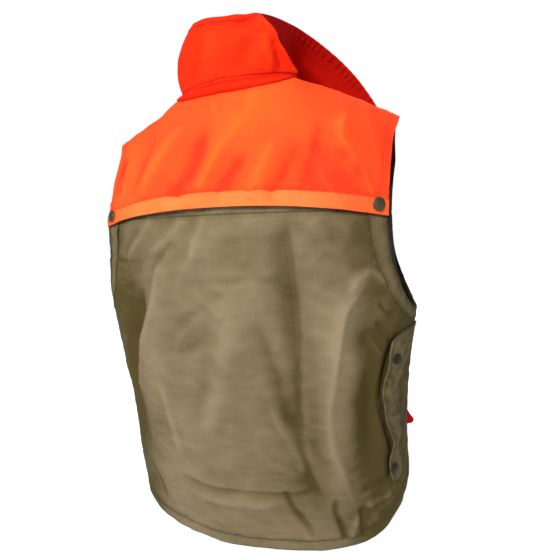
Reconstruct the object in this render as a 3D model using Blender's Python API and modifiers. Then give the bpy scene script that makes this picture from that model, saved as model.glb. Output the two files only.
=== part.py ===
"""Hunting vest: a worn, hollow vest with an orange yoke and collar and a khaki body.

Metres. X runs to the wearer's left, Y to the back, Z up. The origin is the nape,
the middle of the back neck seam. Cloth is a wall that follows one closed body form.
"""

import math

import bmesh
import bpy
import numpy as np
from mathutils import Matrix, Vector

# Cloth and seams
PANEL_WALL = 0.0020
YOKE_WALL = 0.0020
BAND_WALL = 0.0014
COLLAR_WALL = 0.0030
TAPE_WALL = 0.0012
SEAM_GAP = 0.0003
LAYER_GAP = 0.0006

# Body form: superellipse rings. Heights, half width, reach to the back and the front, side line
RING_POWER = 2.4
RINGS = np.array([
    # height, left_half, right_half, back_y, front_y, side_y
    (-0.100, 0.2480, 0.2500, 0.0390, -0.2050, -0.1000),
    (-0.175, 0.2480, 0.2500, 0.0400, -0.2180, -0.1000),
    (-0.316, 0.2545, 0.2545, 0.0430, -0.2300, -0.1056),
    (-0.400, 0.2440, 0.2465, 0.0455, -0.2350, -0.1050),
    (-0.480, 0.2375, 0.2430, 0.0465, -0.2390, -0.1060),
    (-0.580, 0.2400, 0.2470, 0.0370, -0.2420, -0.1150),
    (-0.700, 0.2440, 0.2500, 0.0170, -0.2440, -0.1280),
])

# Shoulders: the ridge line that the cloth rolls over
RIDGE_HEIGHT = 0.031
RIDGE_DROP = {"left": (0.5595, 1.300), "right": (0.8820, 1.653)}
RIDGE_Y = -0.064
RIDGE_Y_SLOPE = -0.100
NAPE_ROLL_POWER = 2.6
ROLL_CHANGE_X = (0.02, 0.16)
BACK_ROLL_POWER = {"left": 1.3, "right": 1.8}
FRONT_ROLL_POWER = 1.7
SHOULDER_SEAM_FORWARD = -0.10

# Heights of the main seams
YOKE_EDGE_Z = -0.175
YOKE_EDGE_RISE = 0.022
YOKE_EDGE_LIFT = 0.0025
YOKE_CORNER_X = 0.2090
YOKE_EDGE_POWER = 2.2
YOKE_HELD_AT_SNAPS = 0.65
YOKE_LIFT_SHARE = 0.40
UNDERLAP = 0.032
UNDERLAP_TUCK = 0.0020
UPPER_LEVEL_Z = -0.195
ARMHOLE_BOTTOM_Z = -0.318
HEM = np.array([
    # place from the right seam over centre back to the left seam and the front, height
    (-2.00, -0.674),
    (-1.50, -0.642),
    (-1.00, -0.604),
    (-0.82, -0.622),
    (-0.73, -0.640),
    (-0.65, -0.659),
    (-0.54, -0.673),
    (-0.40, -0.681),
    (-0.15, -0.687),
    (0.12, -0.692),
    (0.30, -0.685),
    (0.60, -0.676),
    (1.00, -0.661),
    (1.50, -0.668),
    (2.00, -0.674),
])

# Neckline and shoulders
NECK_HALF_WIDTH = 0.085
FRONT_NECK_POWER = 1.3
SHOULDER_TIP_X = 0.224

# Front edges: closed below the slider, open above it, the wearer's right front wider
ZIP_HALF_GAP = 0.0062
SLIDER_Z = -0.240
FRONT_NECK = {
    "left": {"x": 0.060, "z": -0.062},
    "right": {"x": 0.124, "z": -0.082},
}

# Armhole edge, as a fraction of the way from the centre to the side seam
ARMHOLE = np.array([
    # height, left_back, right_back, left_front, right_front
    (-0.0380, 0.706, 0.726, 0.716, 0.736),
    (-0.0700, 0.616, 0.672, 0.680, 0.716),
    (-0.1100, 0.604, 0.648, 0.652, 0.692),
    (-0.1750, 0.614, 0.630, 0.648, 0.680),
    (-0.2200, 0.632, 0.642, 0.660, 0.684),
    (-0.2520, 0.668, 0.672, 0.696, 0.706),
    (-0.2820, 0.742, 0.738, 0.765, 0.765),
    (-0.3000, 0.808, 0.800, 0.824, 0.824),
    (-0.3100, 0.868, 0.862, 0.878, 0.878),
    (-0.3160, 0.932, 0.928, 0.936, 0.936),
    (-0.3180, 1.000, 1.000, 1.000, 1.000),
])

# Largest folds of the back. Each runs from its top to its bottom and stands out, or sinks if negative
FOLDS = np.array([
    # x_top, z_top, x_bottom, z_bottom, depth, half_width
    (-0.165, -0.265, -0.135, -0.640, 0.0080, 0.026),
    (-0.085, -0.185, -0.130, -0.640, -0.0070, 0.020),
    (0.095, -0.200, 0.150, -0.480, 0.0060, 0.030),
    (0.160, -0.240, 0.185, -0.560, -0.0060, 0.022),
])

# Collar: a row for each station from the wearer's right front end, over the nape, to the left
COLLAR_BACK_SHARE = 0.45
COLLAR_SEAM_LIFT = 0.0016
COLLAR_STATIONS = np.array([
    # along, rim_x, rim_y, rim_z, mid_x, mid_y
    (-1.00, -0.195, -0.155, -0.012, 0.000, 0.000),
    (-0.86, -0.178, -0.148, 0.014, 0.004, -0.002),
    (-0.72, -0.153, -0.136, 0.043, 0.012, -0.006),
    (-0.58, -0.126, -0.118, 0.066, 0.016, -0.008),
    (-0.44, -0.098, -0.092, 0.084, 0.012, -0.006),
    (-0.30, -0.077, -0.060, 0.090, 0.000, 0.000),
    (-0.18, -0.053, -0.030, 0.092, -0.010, 0.006),
    (0.00, 0.002, -0.020, 0.094, 0.000, 0.005),
    (0.18, 0.038, -0.032, 0.099, 0.004, 0.004),
    (0.34, 0.066, -0.062, 0.105, 0.014, 0.002),
    (0.52, 0.076, -0.098, 0.090, 0.012, 0.000),
    (0.76, 0.066, -0.138, 0.050, 0.008, 0.000),
    (1.00, 0.046, -0.158, 0.022, 0.000, 0.000),
])

# Neck band under the collar seam
NECK_BAND_WIDTH = 0.010
NECK_BAND_TOP = 0.0020
NECK_BAND_TAPER = 0.8
NECK_BAND_REACH = 0.9

# Armhole band, side flap, tab
ARM_BAND_WIDTH = {"yoke": 0.026, "underarm": 0.013}
ARM_BAND_TOP = 0.0040
ARM_EDGE_POWER = 2.2
UNDERARM_SHARE = 0.6
FLAP = np.array([
    # height, back_fraction, front_fraction, stand_off
    (-0.3360, 0.735, 0.930, 0.0012),
    (-0.3440, 0.665, 0.905, 0.0025),
    (-0.3580, 0.637, 0.880, 0.0035),
    (-0.3800, 0.628, 0.835, 0.0042),
    (-0.4000, 0.617, 0.785, 0.0048),
    (-0.4200, 0.613, 0.742, 0.0050),
    (-0.4400, 0.620, 0.752, 0.0050),
    (-0.4600, 0.640, 0.777, 0.0048),
    (-0.4800, 0.664, 0.790, 0.0046),
    (-0.5010, 0.686, 0.790, 0.0042),
    (-0.5180, 0.677, 0.770, 0.0040),
    (-0.5420, 0.660, 0.793, 0.0035),
    (-0.5600, 0.665, 0.800, 0.0030),
    (-0.5740, 0.685, 0.785, 0.0022),
])
# The vest hangs a little turned, so the flap on the wearer's left lies further forward
FLAP_FORWARD = {"left": 0.20, "right": 0.0}
TAB_Z = -0.526
TAB_PLACE = 1.080
TAB_LENGTH = 0.038
TAB_REACH = 0.014
TAB_WALL = 0.0024
TAB_OUTLINE = (
    # share of the reach, share of the length
    (0.00, 0.62), (0.55, 0.10), (1.00, -0.16), (0.86, -0.30), (0.00, -0.38),
)

# Snaps
SNAP_RADIUS = 0.0092
SNAP_HEIGHT = 0.0034
YOKE_SNAP_Z = -0.1600
YOKE_SNAP_X = {"left": 0.1885, "right": 0.1962}
YOKE_SNAP_SHARE = 0.07
SNAP_SEAT = 0.0003
SNAP_PROFILE = (
    # share of the radius, share of the height
    (0.00, 1.00), (0.55, 0.96), (0.86, 0.78), (1.00, 0.45), (0.97, 0.00), (0.00, 0.00),
)
FLAP_SNAP_RADIUS = 0.0078
FLAP_SNAPS = {"upper": (-0.3710, 0.674), "lower": (-0.5470, 0.686)}

# Zip
TAPE_WIDTH = 0.013
TAPE_ABOVE_HEM = 0.001
TAPE_BELOW_NECK = 0.004
CHAIN_WIDTH = 0.0060
CHAIN_DEPTH = 0.0026
CHAIN_OUT = 0.0003
TAPE_SHOWS = 0.0056
SLIDER_SIZE = (0.0108, 0.0066, 0.0160)
SLIDER_BACK = 0.0012
SLIDER_BEVEL = 0.0012
PULL_SIZE = (0.0060, 0.0014, 0.0300)
PULL_BEVEL = 0.0004
PIN_RADIUS = 0.0009
PIN_CLEARANCE = 0.0003
PIN_STAND_OFF = 0.0026
PIN_BELOW_TOP = 0.0040
EYE_RADIUS = 0.0020
EAR_GAP = 0.0003
EAR_THICKNESS = 0.0010
EAR_HEIGHT = 0.0044
EAR_PAST_PIN = 0.0005
EAR_ROOT = 0.0030

# How finely the walls are divided
BACK_COLUMNS = 22
FRONT_COLUMNS = 11
YOKE_ROWS = 9
BACK_LOWER_ROWS = 14
ARMHOLE_ROWS = 9
ROW_CROWDING = 1.9
SEAM_PLACE = 0.0003
FRONT_SEAM_ROLL = 0.009
YOKE_NECK_SHARE = 0.42
YOKE_NECK_STEP = 0.035

# Materials: colour, roughness, metallic
MATERIALS = {
    "khaki_canvas": ((0.245, 0.212, 0.130), 0.85, 0.0),
    "blaze_orange": ((1.000, 0.085, 0.012), 0.75, 0.0),
    "collar_orange": ((1.000, 0.035, 0.010), 0.75, 0.0),
    "tab_red": ((0.620, 0.010, 0.006), 0.60, 0.0),
    "aged_brass": ((0.120, 0.100, 0.050), 0.40, 1.0),
    "zip_black": ((0.020, 0.020, 0.018), 0.50, 0.0),
}

SIDES = {"left": 1.0, "right": -1.0}


def smooth_column(table, at, column):
    """Read one column of a table at a place, along a smooth curve through its rows."""
    keys, values = table[:, 0], table[:, column]
    if keys[0] > keys[-1]:
        keys, values = keys[::-1], values[::-1]
    slopes = np.gradient(values, keys)
    at = float(np.clip(at, keys[0], keys[-1]))
    i = int(np.clip(np.searchsorted(keys, at) - 1, 0, len(keys) - 2))
    span = keys[i + 1] - keys[i]
    t = (at - keys[i]) / span
    start, end = values[i], values[i + 1]
    lean_in, lean_out = slopes[i] * span, slopes[i + 1] * span
    return ((2 * t ** 3 - 3 * t ** 2 + 1) * start + (t ** 3 - 2 * t ** 2 + t) * lean_in
            + (3 * t ** 2 - 2 * t ** 3) * end + (t ** 3 - t ** 2) * lean_out)


def smoothstep(low, high, value):
    t = min(max((value - low) / (high - low), 0.0), 1.0)
    return t * t * (3 - 2 * t)


def side_of(x):
    return "left" if x >= 0 else "right"


def ring_half(x, z):
    """Half the body's width at height z, on the side where this x lies."""
    return smooth_column(RINGS, z, 1 if x >= 0 else 2)


def ring_y(x, z, back):
    """The y of the body ring at height z, at this x, on its back or its front half."""
    half_width = ring_half(x, z)
    reach = smooth_column(RINGS, z, 3 if back else 4)
    side_y = smooth_column(RINGS, z, 5)
    across = min(abs(x) / half_width, 1.0)
    return side_y + (reach - side_y) * (1 - across ** RING_POWER) ** (1 / RING_POWER)


def ridge(x):
    """Height and y of the shoulder ridge at this x."""
    drop, power = RIDGE_DROP[side_of(x)]
    return RIDGE_HEIGHT - drop * abs(x) ** power, RIDGE_Y + RIDGE_Y_SLOPE * abs(x)


def back_roll_power(x):
    """How squarely the back rolls over the shoulder at this x."""
    side_power = BACK_ROLL_POWER[side_of(x)]
    return NAPE_ROLL_POWER + (side_power - NAPE_ROLL_POWER) * smoothstep(*ROLL_CHANGE_X, abs(x))


def fold_depth(x, z):
    """How far the large folds of the back stand out at this place."""
    total = 0.0
    for x_top, z_top, x_bottom, z_bottom, depth, half_width in FOLDS:
        t = (z_top - z) / (z_top - z_bottom)
        middle = x_top + (x_bottom - x_top) * t
        fade = smoothstep(-0.12, 0.18, t) * smoothstep(-0.10, 0.25, 1 - t)
        total += depth * fade * math.exp(-((x - middle) / half_width) ** 2)
    return total


def shoulder_point(x, roll):
    """A point of the upper body. Roll is 1 at the yoke edge, 0 on the ridge, below 0 in front."""
    top, ridge_y = ridge(x)
    back = roll >= 0
    z = top - abs(roll) * (top - YOKE_EDGE_Z)
    power = back_roll_power(x) if back else FRONT_ROLL_POWER
    share = (1 - (1 - min(abs(roll), 1.0)) ** power) ** (1 / power)
    y = ridge_y + (ring_y(x, YOKE_EDGE_Z, back) - ridge_y) * share
    return np.array((x, y, z))


def roll_at(x, z, back):
    top = ridge(x)[0]
    roll = min((top - z) / (top - YOKE_EDGE_Z), 1.0)
    return roll if back else -roll


def form_point(place, z):
    """A point of the bare form. Place is 0 at centre back, 1 at the left seam, 2 at centre front."""
    turn = (place + 2) % 4 - 2
    side = 1.0 if turn >= 0 else -1.0
    from_back = abs(turn)
    back = from_back <= 1
    across = from_back if back else 2 - from_back
    x = side * ring_half(side, z) * math.sin(across * math.pi / 2)
    if z > YOKE_EDGE_Z:
        return shoulder_point(x, roll_at(x, z, back))
    return np.array((x, ring_y(x, z, back), z))


def normal_of(surface, a, b, step=0.002):
    """The outward normal of a surface of two values."""
    run_a = surface(a + step, b) - surface(a - step, b)
    run_b = surface(a, b + step) - surface(a, b - step)
    normal = np.cross(run_a, run_b)
    return normal / max(np.linalg.norm(normal), 1e-12)


def body_point(place, z, out=0.0):
    """A point of the folded cloth, moved out from it by a distance."""
    normal = normal_of(form_point, place, z)
    base = form_point(place, z)
    from_middle = base - np.array((0.0, -0.1, z))
    if np.dot(normal, from_middle) < 0:
        normal = -normal
    turn = (place + 2) % 4 - 2
    lift = fold_depth(base[0], z) if abs(turn) < 1 else 0.0
    return base + normal * (out + lift)


def upper_point(x, roll, out=0.0):
    """A point of the yoke form, over the shoulder ridge, moved out from it by a distance."""
    normal = normal_of(shoulder_point, x, roll, 0.004)
    base = shoulder_point(x, roll)
    if np.dot(normal, base - np.array((x * 0.6, -0.1, -0.16))) < 0:
        normal = -normal
    lift = fold_depth(base[0], base[2])
    return base + normal * (out + (lift if roll > 0 else 0.0))


def armhole_fraction(z, side, back):
    """How far the armhole edge lies from the centre towards the side seam at this height."""
    column = (1 if side > 0 else 2) + (0 if back else 2)
    return smooth_column(ARMHOLE, z, column) if z > ARMHOLE_BOTTOM_Z else 1.0


def armhole_x(z, side, back):
    """The x of the armhole edge on the upper body, without its sign."""
    return ring_half(side, YOKE_EDGE_Z) * math.sin(armhole_fraction(z, side, back) * math.pi / 2)


def hem_z(place):
    return smooth_column(HEM, (place + 2) % 4 - 2, 1)


def front_edge_x(z, side_name):
    """Half the front opening on one side at this height."""
    neck = FRONT_NECK[side_name]
    return ZIP_HALF_GAP + (neck["x"] - ZIP_HALF_GAP) * smoothstep(SLIDER_Z, neck["z"], z)


def add_material(name):
    colour, roughness, metallic = MATERIALS[name]
    material = bpy.data.materials.new(name)
    material.use_nodes = True
    shader = material.node_tree.nodes["Principled BSDF"]
    shader.inputs["Base Color"].default_value = (*colour, 1.0)
    shader.inputs["Roughness"].default_value = roughness
    shader.inputs["Metallic"].default_value = metallic
    return material


def link_object(name, data, material, collection="hunting_vest"):
    part = bpy.data.objects.new(name, data)
    bpy.data.collections[collection].objects.link(part)
    data.materials.append(material)
    return part


def sheet_wall(name, surface, columns, rows, thickness, material):
    """A wall of cloth: a grid laid on surface(column, row), thickened towards the body."""
    mesh = bpy.data.meshes.new(name)
    shape = bmesh.new()
    bmesh.ops.create_grid(shape, x_segments=len(columns) - 1, y_segments=len(rows) - 1, size=1.0)
    for vertex in shape.verts:
        column = round((vertex.co.x + 1) / 2 * (len(columns) - 1))
        row = round((vertex.co.y + 1) / 2 * (len(rows) - 1))
        vertex.co = surface(columns[column], rows[row])
    shape.faces.ensure_lookup_table()
    shape.normal_update()
    facing = sum(np.dot(face.normal, outward_at(face.calc_center_median())) * face.calc_area()
                 for face in shape.faces)
    if facing < 0:
        bmesh.ops.reverse_faces(shape, faces=shape.faces)
    shape.to_mesh(mesh)
    shape.free()
    mesh.shade_smooth()
    part = link_object(name, mesh, material)
    solidify = part.modifiers.new("cloth", "SOLIDIFY")
    solidify.thickness = thickness
    solidify.offset = -1.0
    solidify.use_even_offset = False
    return part


def outward_at(point):
    """The rough way out from the middle of the body, for telling a wall's outer side."""
    return np.array((point[0], point[1] + 0.10, max(point[2] + 0.20, 0.0) * 0.8))


def place_of_x(x, z):
    """How far round from the centre a point at this x lies, as a share of the way to the seam."""
    return math.asin(min(abs(x) / ring_half(x, z), 1.0)) / (math.pi / 2)


def narrowed(across, share):
    """Bring the outer columns in to a share of the full width and leave the middle ones."""
    return across * (1 - (1 - share) * abs(across) ** 3)


def yoke_edge_z(x):
    """The free lower edge of the back yoke is a little higher in the middle."""
    return YOKE_EDGE_Z + YOKE_EDGE_RISE * (1 - (abs(x) / YOKE_CORNER_X) ** YOKE_EDGE_POWER)


def armhole_levels(top_z):
    """Heights of the rows beside an armhole, closer together near its bottom."""
    steps = np.linspace(0, 1, ARMHOLE_ROWS)[1:] ** ROW_CROWDING
    return ARMHOLE_BOTTOM_Z + (top_z - ARMHOLE_BOTTOM_Z) * steps


def make_back_panel(material):
    lower = np.linspace(0.0, 1.0, BACK_LOWER_ROWS)
    levels = armhole_levels(UPPER_LEVEL_Z)
    rows = ([("lower", t) for t in lower] + [("level", z) for z in levels]
            + [("top", t) for t in (0.5, 1.0)])

    def surface(across, row):
        kind, value = row
        if kind == "lower":
            place = across * (1 - SEAM_PLACE)
            z = hem_z(place) + (ARMHOLE_BOTTOM_Z - hem_z(place)) * value
            return body_point(place, z)
        z = value
        if kind == "top":
            x = across * YOKE_CORNER_X
            z = UPPER_LEVEL_Z + (yoke_edge_z(x) + UNDERLAP - UPPER_LEVEL_Z) * value
        tuck = UNDERLAP_TUCK * smoothstep(UPPER_LEVEL_Z - UNDERLAP, YOKE_EDGE_Z, z)
        return body_point(narrowed(across, armhole_fraction(z, across, True)), z, -tuck)

    return sheet_wall("back_panel", surface, np.linspace(-1, 1, BACK_COLUMNS + 1), rows,
                      PANEL_WALL, material)


def neck_roll(x, side_share):
    """The roll at which the back neckline crosses this x."""
    want_y = ridge(NECK_HALF_WIDTH)[1] * (1 - math.cos(side_share * math.pi / 2))
    ridge_y = ridge(x)[1]
    share = max((want_y - ridge_y) / (ring_y(x, YOKE_EDGE_Z, True) - ridge_y), 0.0)
    power = back_roll_power(x)
    return 1 - (1 - share ** power) ** (1 / power)


def back_neck(side, side_share):
    """x and roll of the back neckline. The share is 0 at the nape and 1 at the side of the neck."""
    x = side * NECK_HALF_WIDTH * math.sin(side_share * math.pi / 2)
    return x, neck_roll(x, side_share)


def front_neck_roll(side_name):
    neck = FRONT_NECK[side_name]
    top = ridge(SIDES[side_name] * neck["x"])[0]
    return (top - neck["z"]) / (top - YOKE_EDGE_Z)


def front_neck(side_name, share):
    """x and roll of the front neckline, from the side of the neck at 0 to the front end at 1."""
    x = NECK_HALF_WIDTH + (FRONT_NECK[side_name]["x"] - NECK_HALF_WIDTH) * share ** FRONT_NECK_POWER
    return SIDES[side_name] * x, -share * front_neck_roll(side_name)


def back_yoke_point(across, share):
    """A point of the back yoke. Share is 0 at the free edge and 1 at the neck or the seam."""
    side = 1.0 if across >= 0 else -1.0
    c = abs(across)
    if c < YOKE_NECK_SHARE - YOKE_NECK_STEP:
        x_top, roll_top = back_neck(side, c / (YOKE_NECK_SHARE - YOKE_NECK_STEP))
    elif c < YOKE_NECK_SHARE + 1e-6:
        x_top, roll_top = side * NECK_HALF_WIDTH, 0.0
    else:
        t = (c - YOKE_NECK_SHARE) / (1 - YOKE_NECK_SHARE)
        x_top = side * (NECK_HALF_WIDTH + (SHOULDER_TIP_X - NECK_HALF_WIDTH) * t)
        roll_top = SHOULDER_SEAM_FORWARD * smoothstep(-0.02, 0.12, t)
    x_low = side * YOKE_CORNER_X * c
    top_low = ridge(x_low)[0]
    roll_low = (top_low - yoke_edge_z(x_low)) / (top_low - YOKE_EDGE_Z)
    x = x_low + (x_top - x_low) * share
    roll = roll_low + (roll_top - roll_low) * share
    z = ridge(x)[0] - abs(roll) * (ridge(x)[0] - YOKE_EDGE_Z)
    straight = YOKE_CORNER_X + (SHOULDER_TIP_X - YOKE_CORNER_X) * share
    x += side * (armhole_x(z, side, True) - straight) * c ** 4
    return x, roll


def yoke_out(x, share):
    """The yoke lies over the back panel, and its free edge stands off it between the snaps."""
    loose = 1 - YOKE_HELD_AT_SNAPS * (min(abs(x) / YOKE_CORNER_X, 1.0)) ** 4
    lift = YOKE_EDGE_LIFT * loose * (1 - smoothstep(0.0, YOKE_LIFT_SHARE, share))
    return YOKE_WALL + LAYER_GAP + lift


def make_back_yoke(material):
    columns = np.concatenate((
        -np.linspace(1, YOKE_NECK_SHARE + 0.06, 7),
        -np.array((YOKE_NECK_SHARE, YOKE_NECK_SHARE - YOKE_NECK_STEP)),
        np.linspace(-0.32, 0.32, 7),
        np.array((YOKE_NECK_SHARE - YOKE_NECK_STEP, YOKE_NECK_SHARE)),
        np.linspace(YOKE_NECK_SHARE + 0.06, 1, 7)))

    def surface(across, share):
        x, roll = back_yoke_point(across, share)
        return upper_point(x, roll, yoke_out(x, share))

    return sheet_wall("back_yoke", surface, columns, np.linspace(0, 1, YOKE_ROWS + 1),
                      YOKE_WALL, material)


def make_neck_band(material):
    """A strip on the yoke just under the collar seam, narrowing towards the sides of the neck."""
    def surface(share, drop):
        x, roll = back_neck(1.0 if share >= 0 else -1.0, abs(share))
        width = NECK_BAND_WIDTH * (1 - NECK_BAND_TAPER * abs(share) ** 2)
        depth = ridge(x)[0] - YOKE_EDGE_Z
        roll += (NECK_BAND_TOP + drop * width) / depth
        return upper_point(x, roll, YOKE_WALL + 2 * LAYER_GAP + BAND_WALL)

    shares = np.linspace(-NECK_BAND_REACH, NECK_BAND_REACH, 19)
    return sheet_wall("neck_band", surface, shares, (0.0, 0.5, 1.0), BAND_WALL, material)


def make_front_yoke(side_name, material):
    side = SIDES[side_name]
    neck_end = front_neck_roll(side_name)
    rolls = np.concatenate((np.linspace(-SHOULDER_SEAM_FORWARD + FRONT_SEAM_ROLL, neck_end, 5),
                            np.linspace(neck_end, 1 - FRONT_SEAM_ROLL, 6)[1:]))

    def surface(across, roll):
        start = -SHOULDER_SEAM_FORWARD + FRONT_SEAM_ROLL
        if roll <= neck_end:
            inner_x = abs(front_neck(side_name, roll / neck_end)[0])
        else:
            top = ridge(side * FRONT_NECK[side_name]["x"])[0]
            inner_x = front_edge_x(top - roll * (top - YOKE_EDGE_Z), side_name)
        top = ridge(side * YOKE_CORNER_X)[0]
        outer_x = armhole_x(top - roll * (top - YOKE_EDGE_Z), side, False)
        x = inner_x + (outer_x - inner_x) * across
        out = (YOKE_WALL + LAYER_GAP) * (1 - smoothstep(start, 1.0, roll))
        return upper_point(side * x, -roll, out)

    return sheet_wall("front_yoke_" + side_name, surface, np.linspace(0, 1, 8), rolls,
                      YOKE_WALL, material)


def make_front(side_name, material):
    side = SIDES[side_name]
    lower = np.linspace(0.0, 1.0, BACK_LOWER_ROWS)
    top_z = YOKE_EDGE_Z - 2 * SEAM_GAP
    levels = armhole_levels(top_z)
    rows = [("lower", t) for t in lower] + [("level", z) for z in levels]

    def surface(across, row):
        kind, value = row
        outer = 1 + SEAM_PLACE if kind == "lower" else 2 - armhole_fraction(value, side, False)
        z = ARMHOLE_BOTTOM_Z if kind == "lower" else value
        for _ in range(2):
            inner = 2 - place_of_x(side * front_edge_x(z, side_name), z)
            place = inner + (1 + SEAM_PLACE - inner) * across + (outer - 1 - SEAM_PLACE) * across ** 3
            if kind == "lower":
                z = hem_z(place) + (ARMHOLE_BOTTOM_Z - hem_z(place)) * value
        return body_point(side * place, z)

    return sheet_wall("front_" + side_name, surface, np.linspace(0, 1, FRONT_COLUMNS + 1), rows,
                      PANEL_WALL, material)


def armhole_edge(along, side):
    """Place and height on the khaki part of an armhole, from the back at -1 to the front at 1."""
    height = YOKE_EDGE_Z - ARM_BAND_TOP - ARMHOLE_BOTTOM_Z
    z = ARMHOLE_BOTTOM_Z + height * abs(along) ** ARM_EDGE_POWER
    fraction = armhole_fraction(z, side, along < 0)
    return side * (fraction if along < 0 else 2 - fraction), z


def make_armhole_band(side_name, material):
    side = SIDES[side_name]

    def surface(along, across):
        underarm = ARM_BAND_WIDTH["underarm"]
        width = across * (underarm + (ARM_BAND_WIDTH["yoke"] - underarm) * abs(along))
        place, z = armhole_edge(along, side)
        step = 0.01
        ahead = form_point(*armhole_edge(min(along + step, 1.0), side))
        behind = form_point(*armhole_edge(max(along - step, -1.0), side))
        run = ahead - behind
        run /= np.linalg.norm(run)
        per_place = (form_point(place + 0.01, z) - form_point(place - 0.01, z)) / 0.02
        per_height = (form_point(place, z + 0.002) - form_point(place, z - 0.002)) / 0.004
        normal = np.cross(per_place, per_height)
        normal /= np.linalg.norm(normal)
        away = np.cross(normal, run)
        if away[2] > 0 and abs(along) < UNDERARM_SHARE:
            away = -away
        elif abs(along) >= UNDERARM_SHARE and away[0] * side > 0:
            away = -away
        move = np.linalg.lstsq(np.column_stack((per_place, per_height)), away * width, rcond=None)[0]
        return body_point(place + move[0], z + move[1], LAYER_GAP + BAND_WALL)

    return sheet_wall("armhole_band_" + side_name, surface, np.linspace(-1, 1, 29),
                      (0.02, 0.5, 1.0), BAND_WALL, material)


def flap_out(across, z):
    """How far the flap's outer face stands off the form; its back edge is free, its front is sewn."""
    return LAYER_GAP + BAND_WALL + smooth_column(FLAP, z, 3) * (1 - across ** 2)


def make_side_flap(side_name, material):
    side = SIDES[side_name]
    low, high = FLAP[-1, 0], FLAP[0, 0]

    def surface(across, z):
        back = smooth_column(FLAP, z, 1) + FLAP_FORWARD[side_name]
        front = smooth_column(FLAP, z, 2) + FLAP_FORWARD[side_name]
        return body_point(side * (back + (front - back) * across), z, flap_out(across, z))

    return sheet_wall("side_flap_" + side_name, surface, np.linspace(0, 1, 5),
                      np.linspace(low, high, 20), BAND_WALL, material)


def turned_cap(name, radius, height, point, normal, material):
    """A snap's domed cap, turned about the normal of the cloth that it sits on."""
    mesh = bpy.data.meshes.new(name)
    mesh.from_pydata([(x * radius, 0.0, z * height) for x, z in SNAP_PROFILE],
                     [(i, i + 1) for i in range(len(SNAP_PROFILE) - 1)], [])
    part = link_object(name, mesh, material)
    screw = part.modifiers.new("turn", "SCREW")
    screw.steps = 18
    screw.render_steps = 18
    screw.use_merge_vertices = True
    screw.merge_threshold = 0.00001
    screw.use_smooth_shade = True
    part.rotation_mode = "QUATERNION"
    part.rotation_quaternion = Vector(normal).to_track_quat("Z", "Y")
    part.location = Vector(point) + Vector(normal) * SEAM_GAP
    return part


def cloth_frame(surface, a, b, out):
    """A point on a cloth layer and the layer's outward normal there."""
    point = surface(a, b, out)
    normal = surface(a, b, out + 0.01) - point
    return point, normal / np.linalg.norm(normal)


def make_snaps(material):
    for side_name, side in SIDES.items():
        x = side * YOKE_SNAP_X[side_name]
        top = ridge(x)[0]
        roll = (top - YOKE_SNAP_Z) / (top - YOKE_EDGE_Z)
        out = yoke_out(x, YOKE_SNAP_SHARE) + SNAP_SEAT
        point, normal = cloth_frame(upper_point, x, roll, out)
        turned_cap("yoke_snap_" + side_name, SNAP_RADIUS, SNAP_HEIGHT, point, normal, material)
        for level, (z, fraction) in FLAP_SNAPS.items():
            back, front = smooth_column(FLAP, z, 1), smooth_column(FLAP, z, 2)
            across = (fraction - back) / (front - back)
            out = flap_out(across, z) + SNAP_SEAT
            place = side * (fraction + FLAP_FORWARD[side_name])
            point, normal = cloth_frame(body_point, place, z, out)
            name = "flap_snap_" + level + "_" + side_name
            turned_cap(name, FLAP_SNAP_RADIUS, SNAP_HEIGHT, point, normal, material)


def collar_base(side_name, along):
    """A point of the collar seam. Along is 0 at the nape and 1 at the front end."""
    if along <= COLLAR_BACK_SHARE:
        x, roll = back_neck(SIDES[side_name], along / COLLAR_BACK_SHARE)
    else:
        x, roll = front_neck(side_name, (along - COLLAR_BACK_SHARE) / (1 - COLLAR_BACK_SHARE))
    return upper_point(x, roll, YOKE_WALL + LAYER_GAP)


def collar_point(along, height):
    """A point of the collar's outer face. Height is 0 at the seam and 1 at the rim."""
    side_name = "left" if along >= 0 else "right"
    base = collar_base(side_name, abs(along))
    rim = np.array([smooth_column(COLLAR_STATIONS, along, i) for i in (1, 2, 3)])
    middle = np.array([smooth_column(COLLAR_STATIONS, along, i) for i in (4, 5)] + [0.0])
    rise = (rim - base) / np.linalg.norm(rim - base)
    base = base + rise * COLLAR_SEAM_LIFT
    return base + (rim - base) * height + middle * (4 * height * (1 - height))


def make_collar(material):
    columns = np.concatenate((np.linspace(-1, -0.1, 16), np.linspace(0, 1, 14)))
    return sheet_wall("collar", collar_point, columns, np.linspace(0, 1, 7), COLLAR_WALL, material)


def make_tab(side_name, material):
    """A small flat corner that stands out from the side, a curve's outline given a thickness."""
    side = SIDES[side_name]
    curve = bpy.data.curves.new("side_tab_" + side_name, "CURVE")
    curve.dimensions = "2D"
    curve.fill_mode = "BOTH"
    curve.extrude = TAB_WALL / 2
    spline = curve.splines.new("POLY")
    spline.points.add(len(TAB_OUTLINE) - 1)
    for point, (x, y) in zip(spline.points, TAB_OUTLINE):
        point.co = (x * TAB_REACH, y * TAB_LENGTH, 0.0, 1.0)
    spline.use_cyclic_u = True
    part = link_object("side_tab_" + side_name, curve, material)
    point, normal = cloth_frame(body_point, side * TAB_PLACE, TAB_Z, 2 * SEAM_GAP)
    across = Vector(normal).cross(Vector((0, 0, 1))).normalized()
    up = across.cross(Vector(normal)).normalized()
    turn = Matrix((Vector(normal), up, Vector(normal).cross(up))).transposed()
    part.matrix_world = Matrix.Translation(Vector(point)) @ turn.to_4x4()
    return part


def centre_front_point(x, z, out):
    """A point near the centre front line, at a given x."""
    if z > YOKE_EDGE_Z:
        return upper_point(x, roll_at(x, z, False), out)
    return body_point(math.copysign(2 - place_of_x(x, z), x), z, out)


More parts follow.
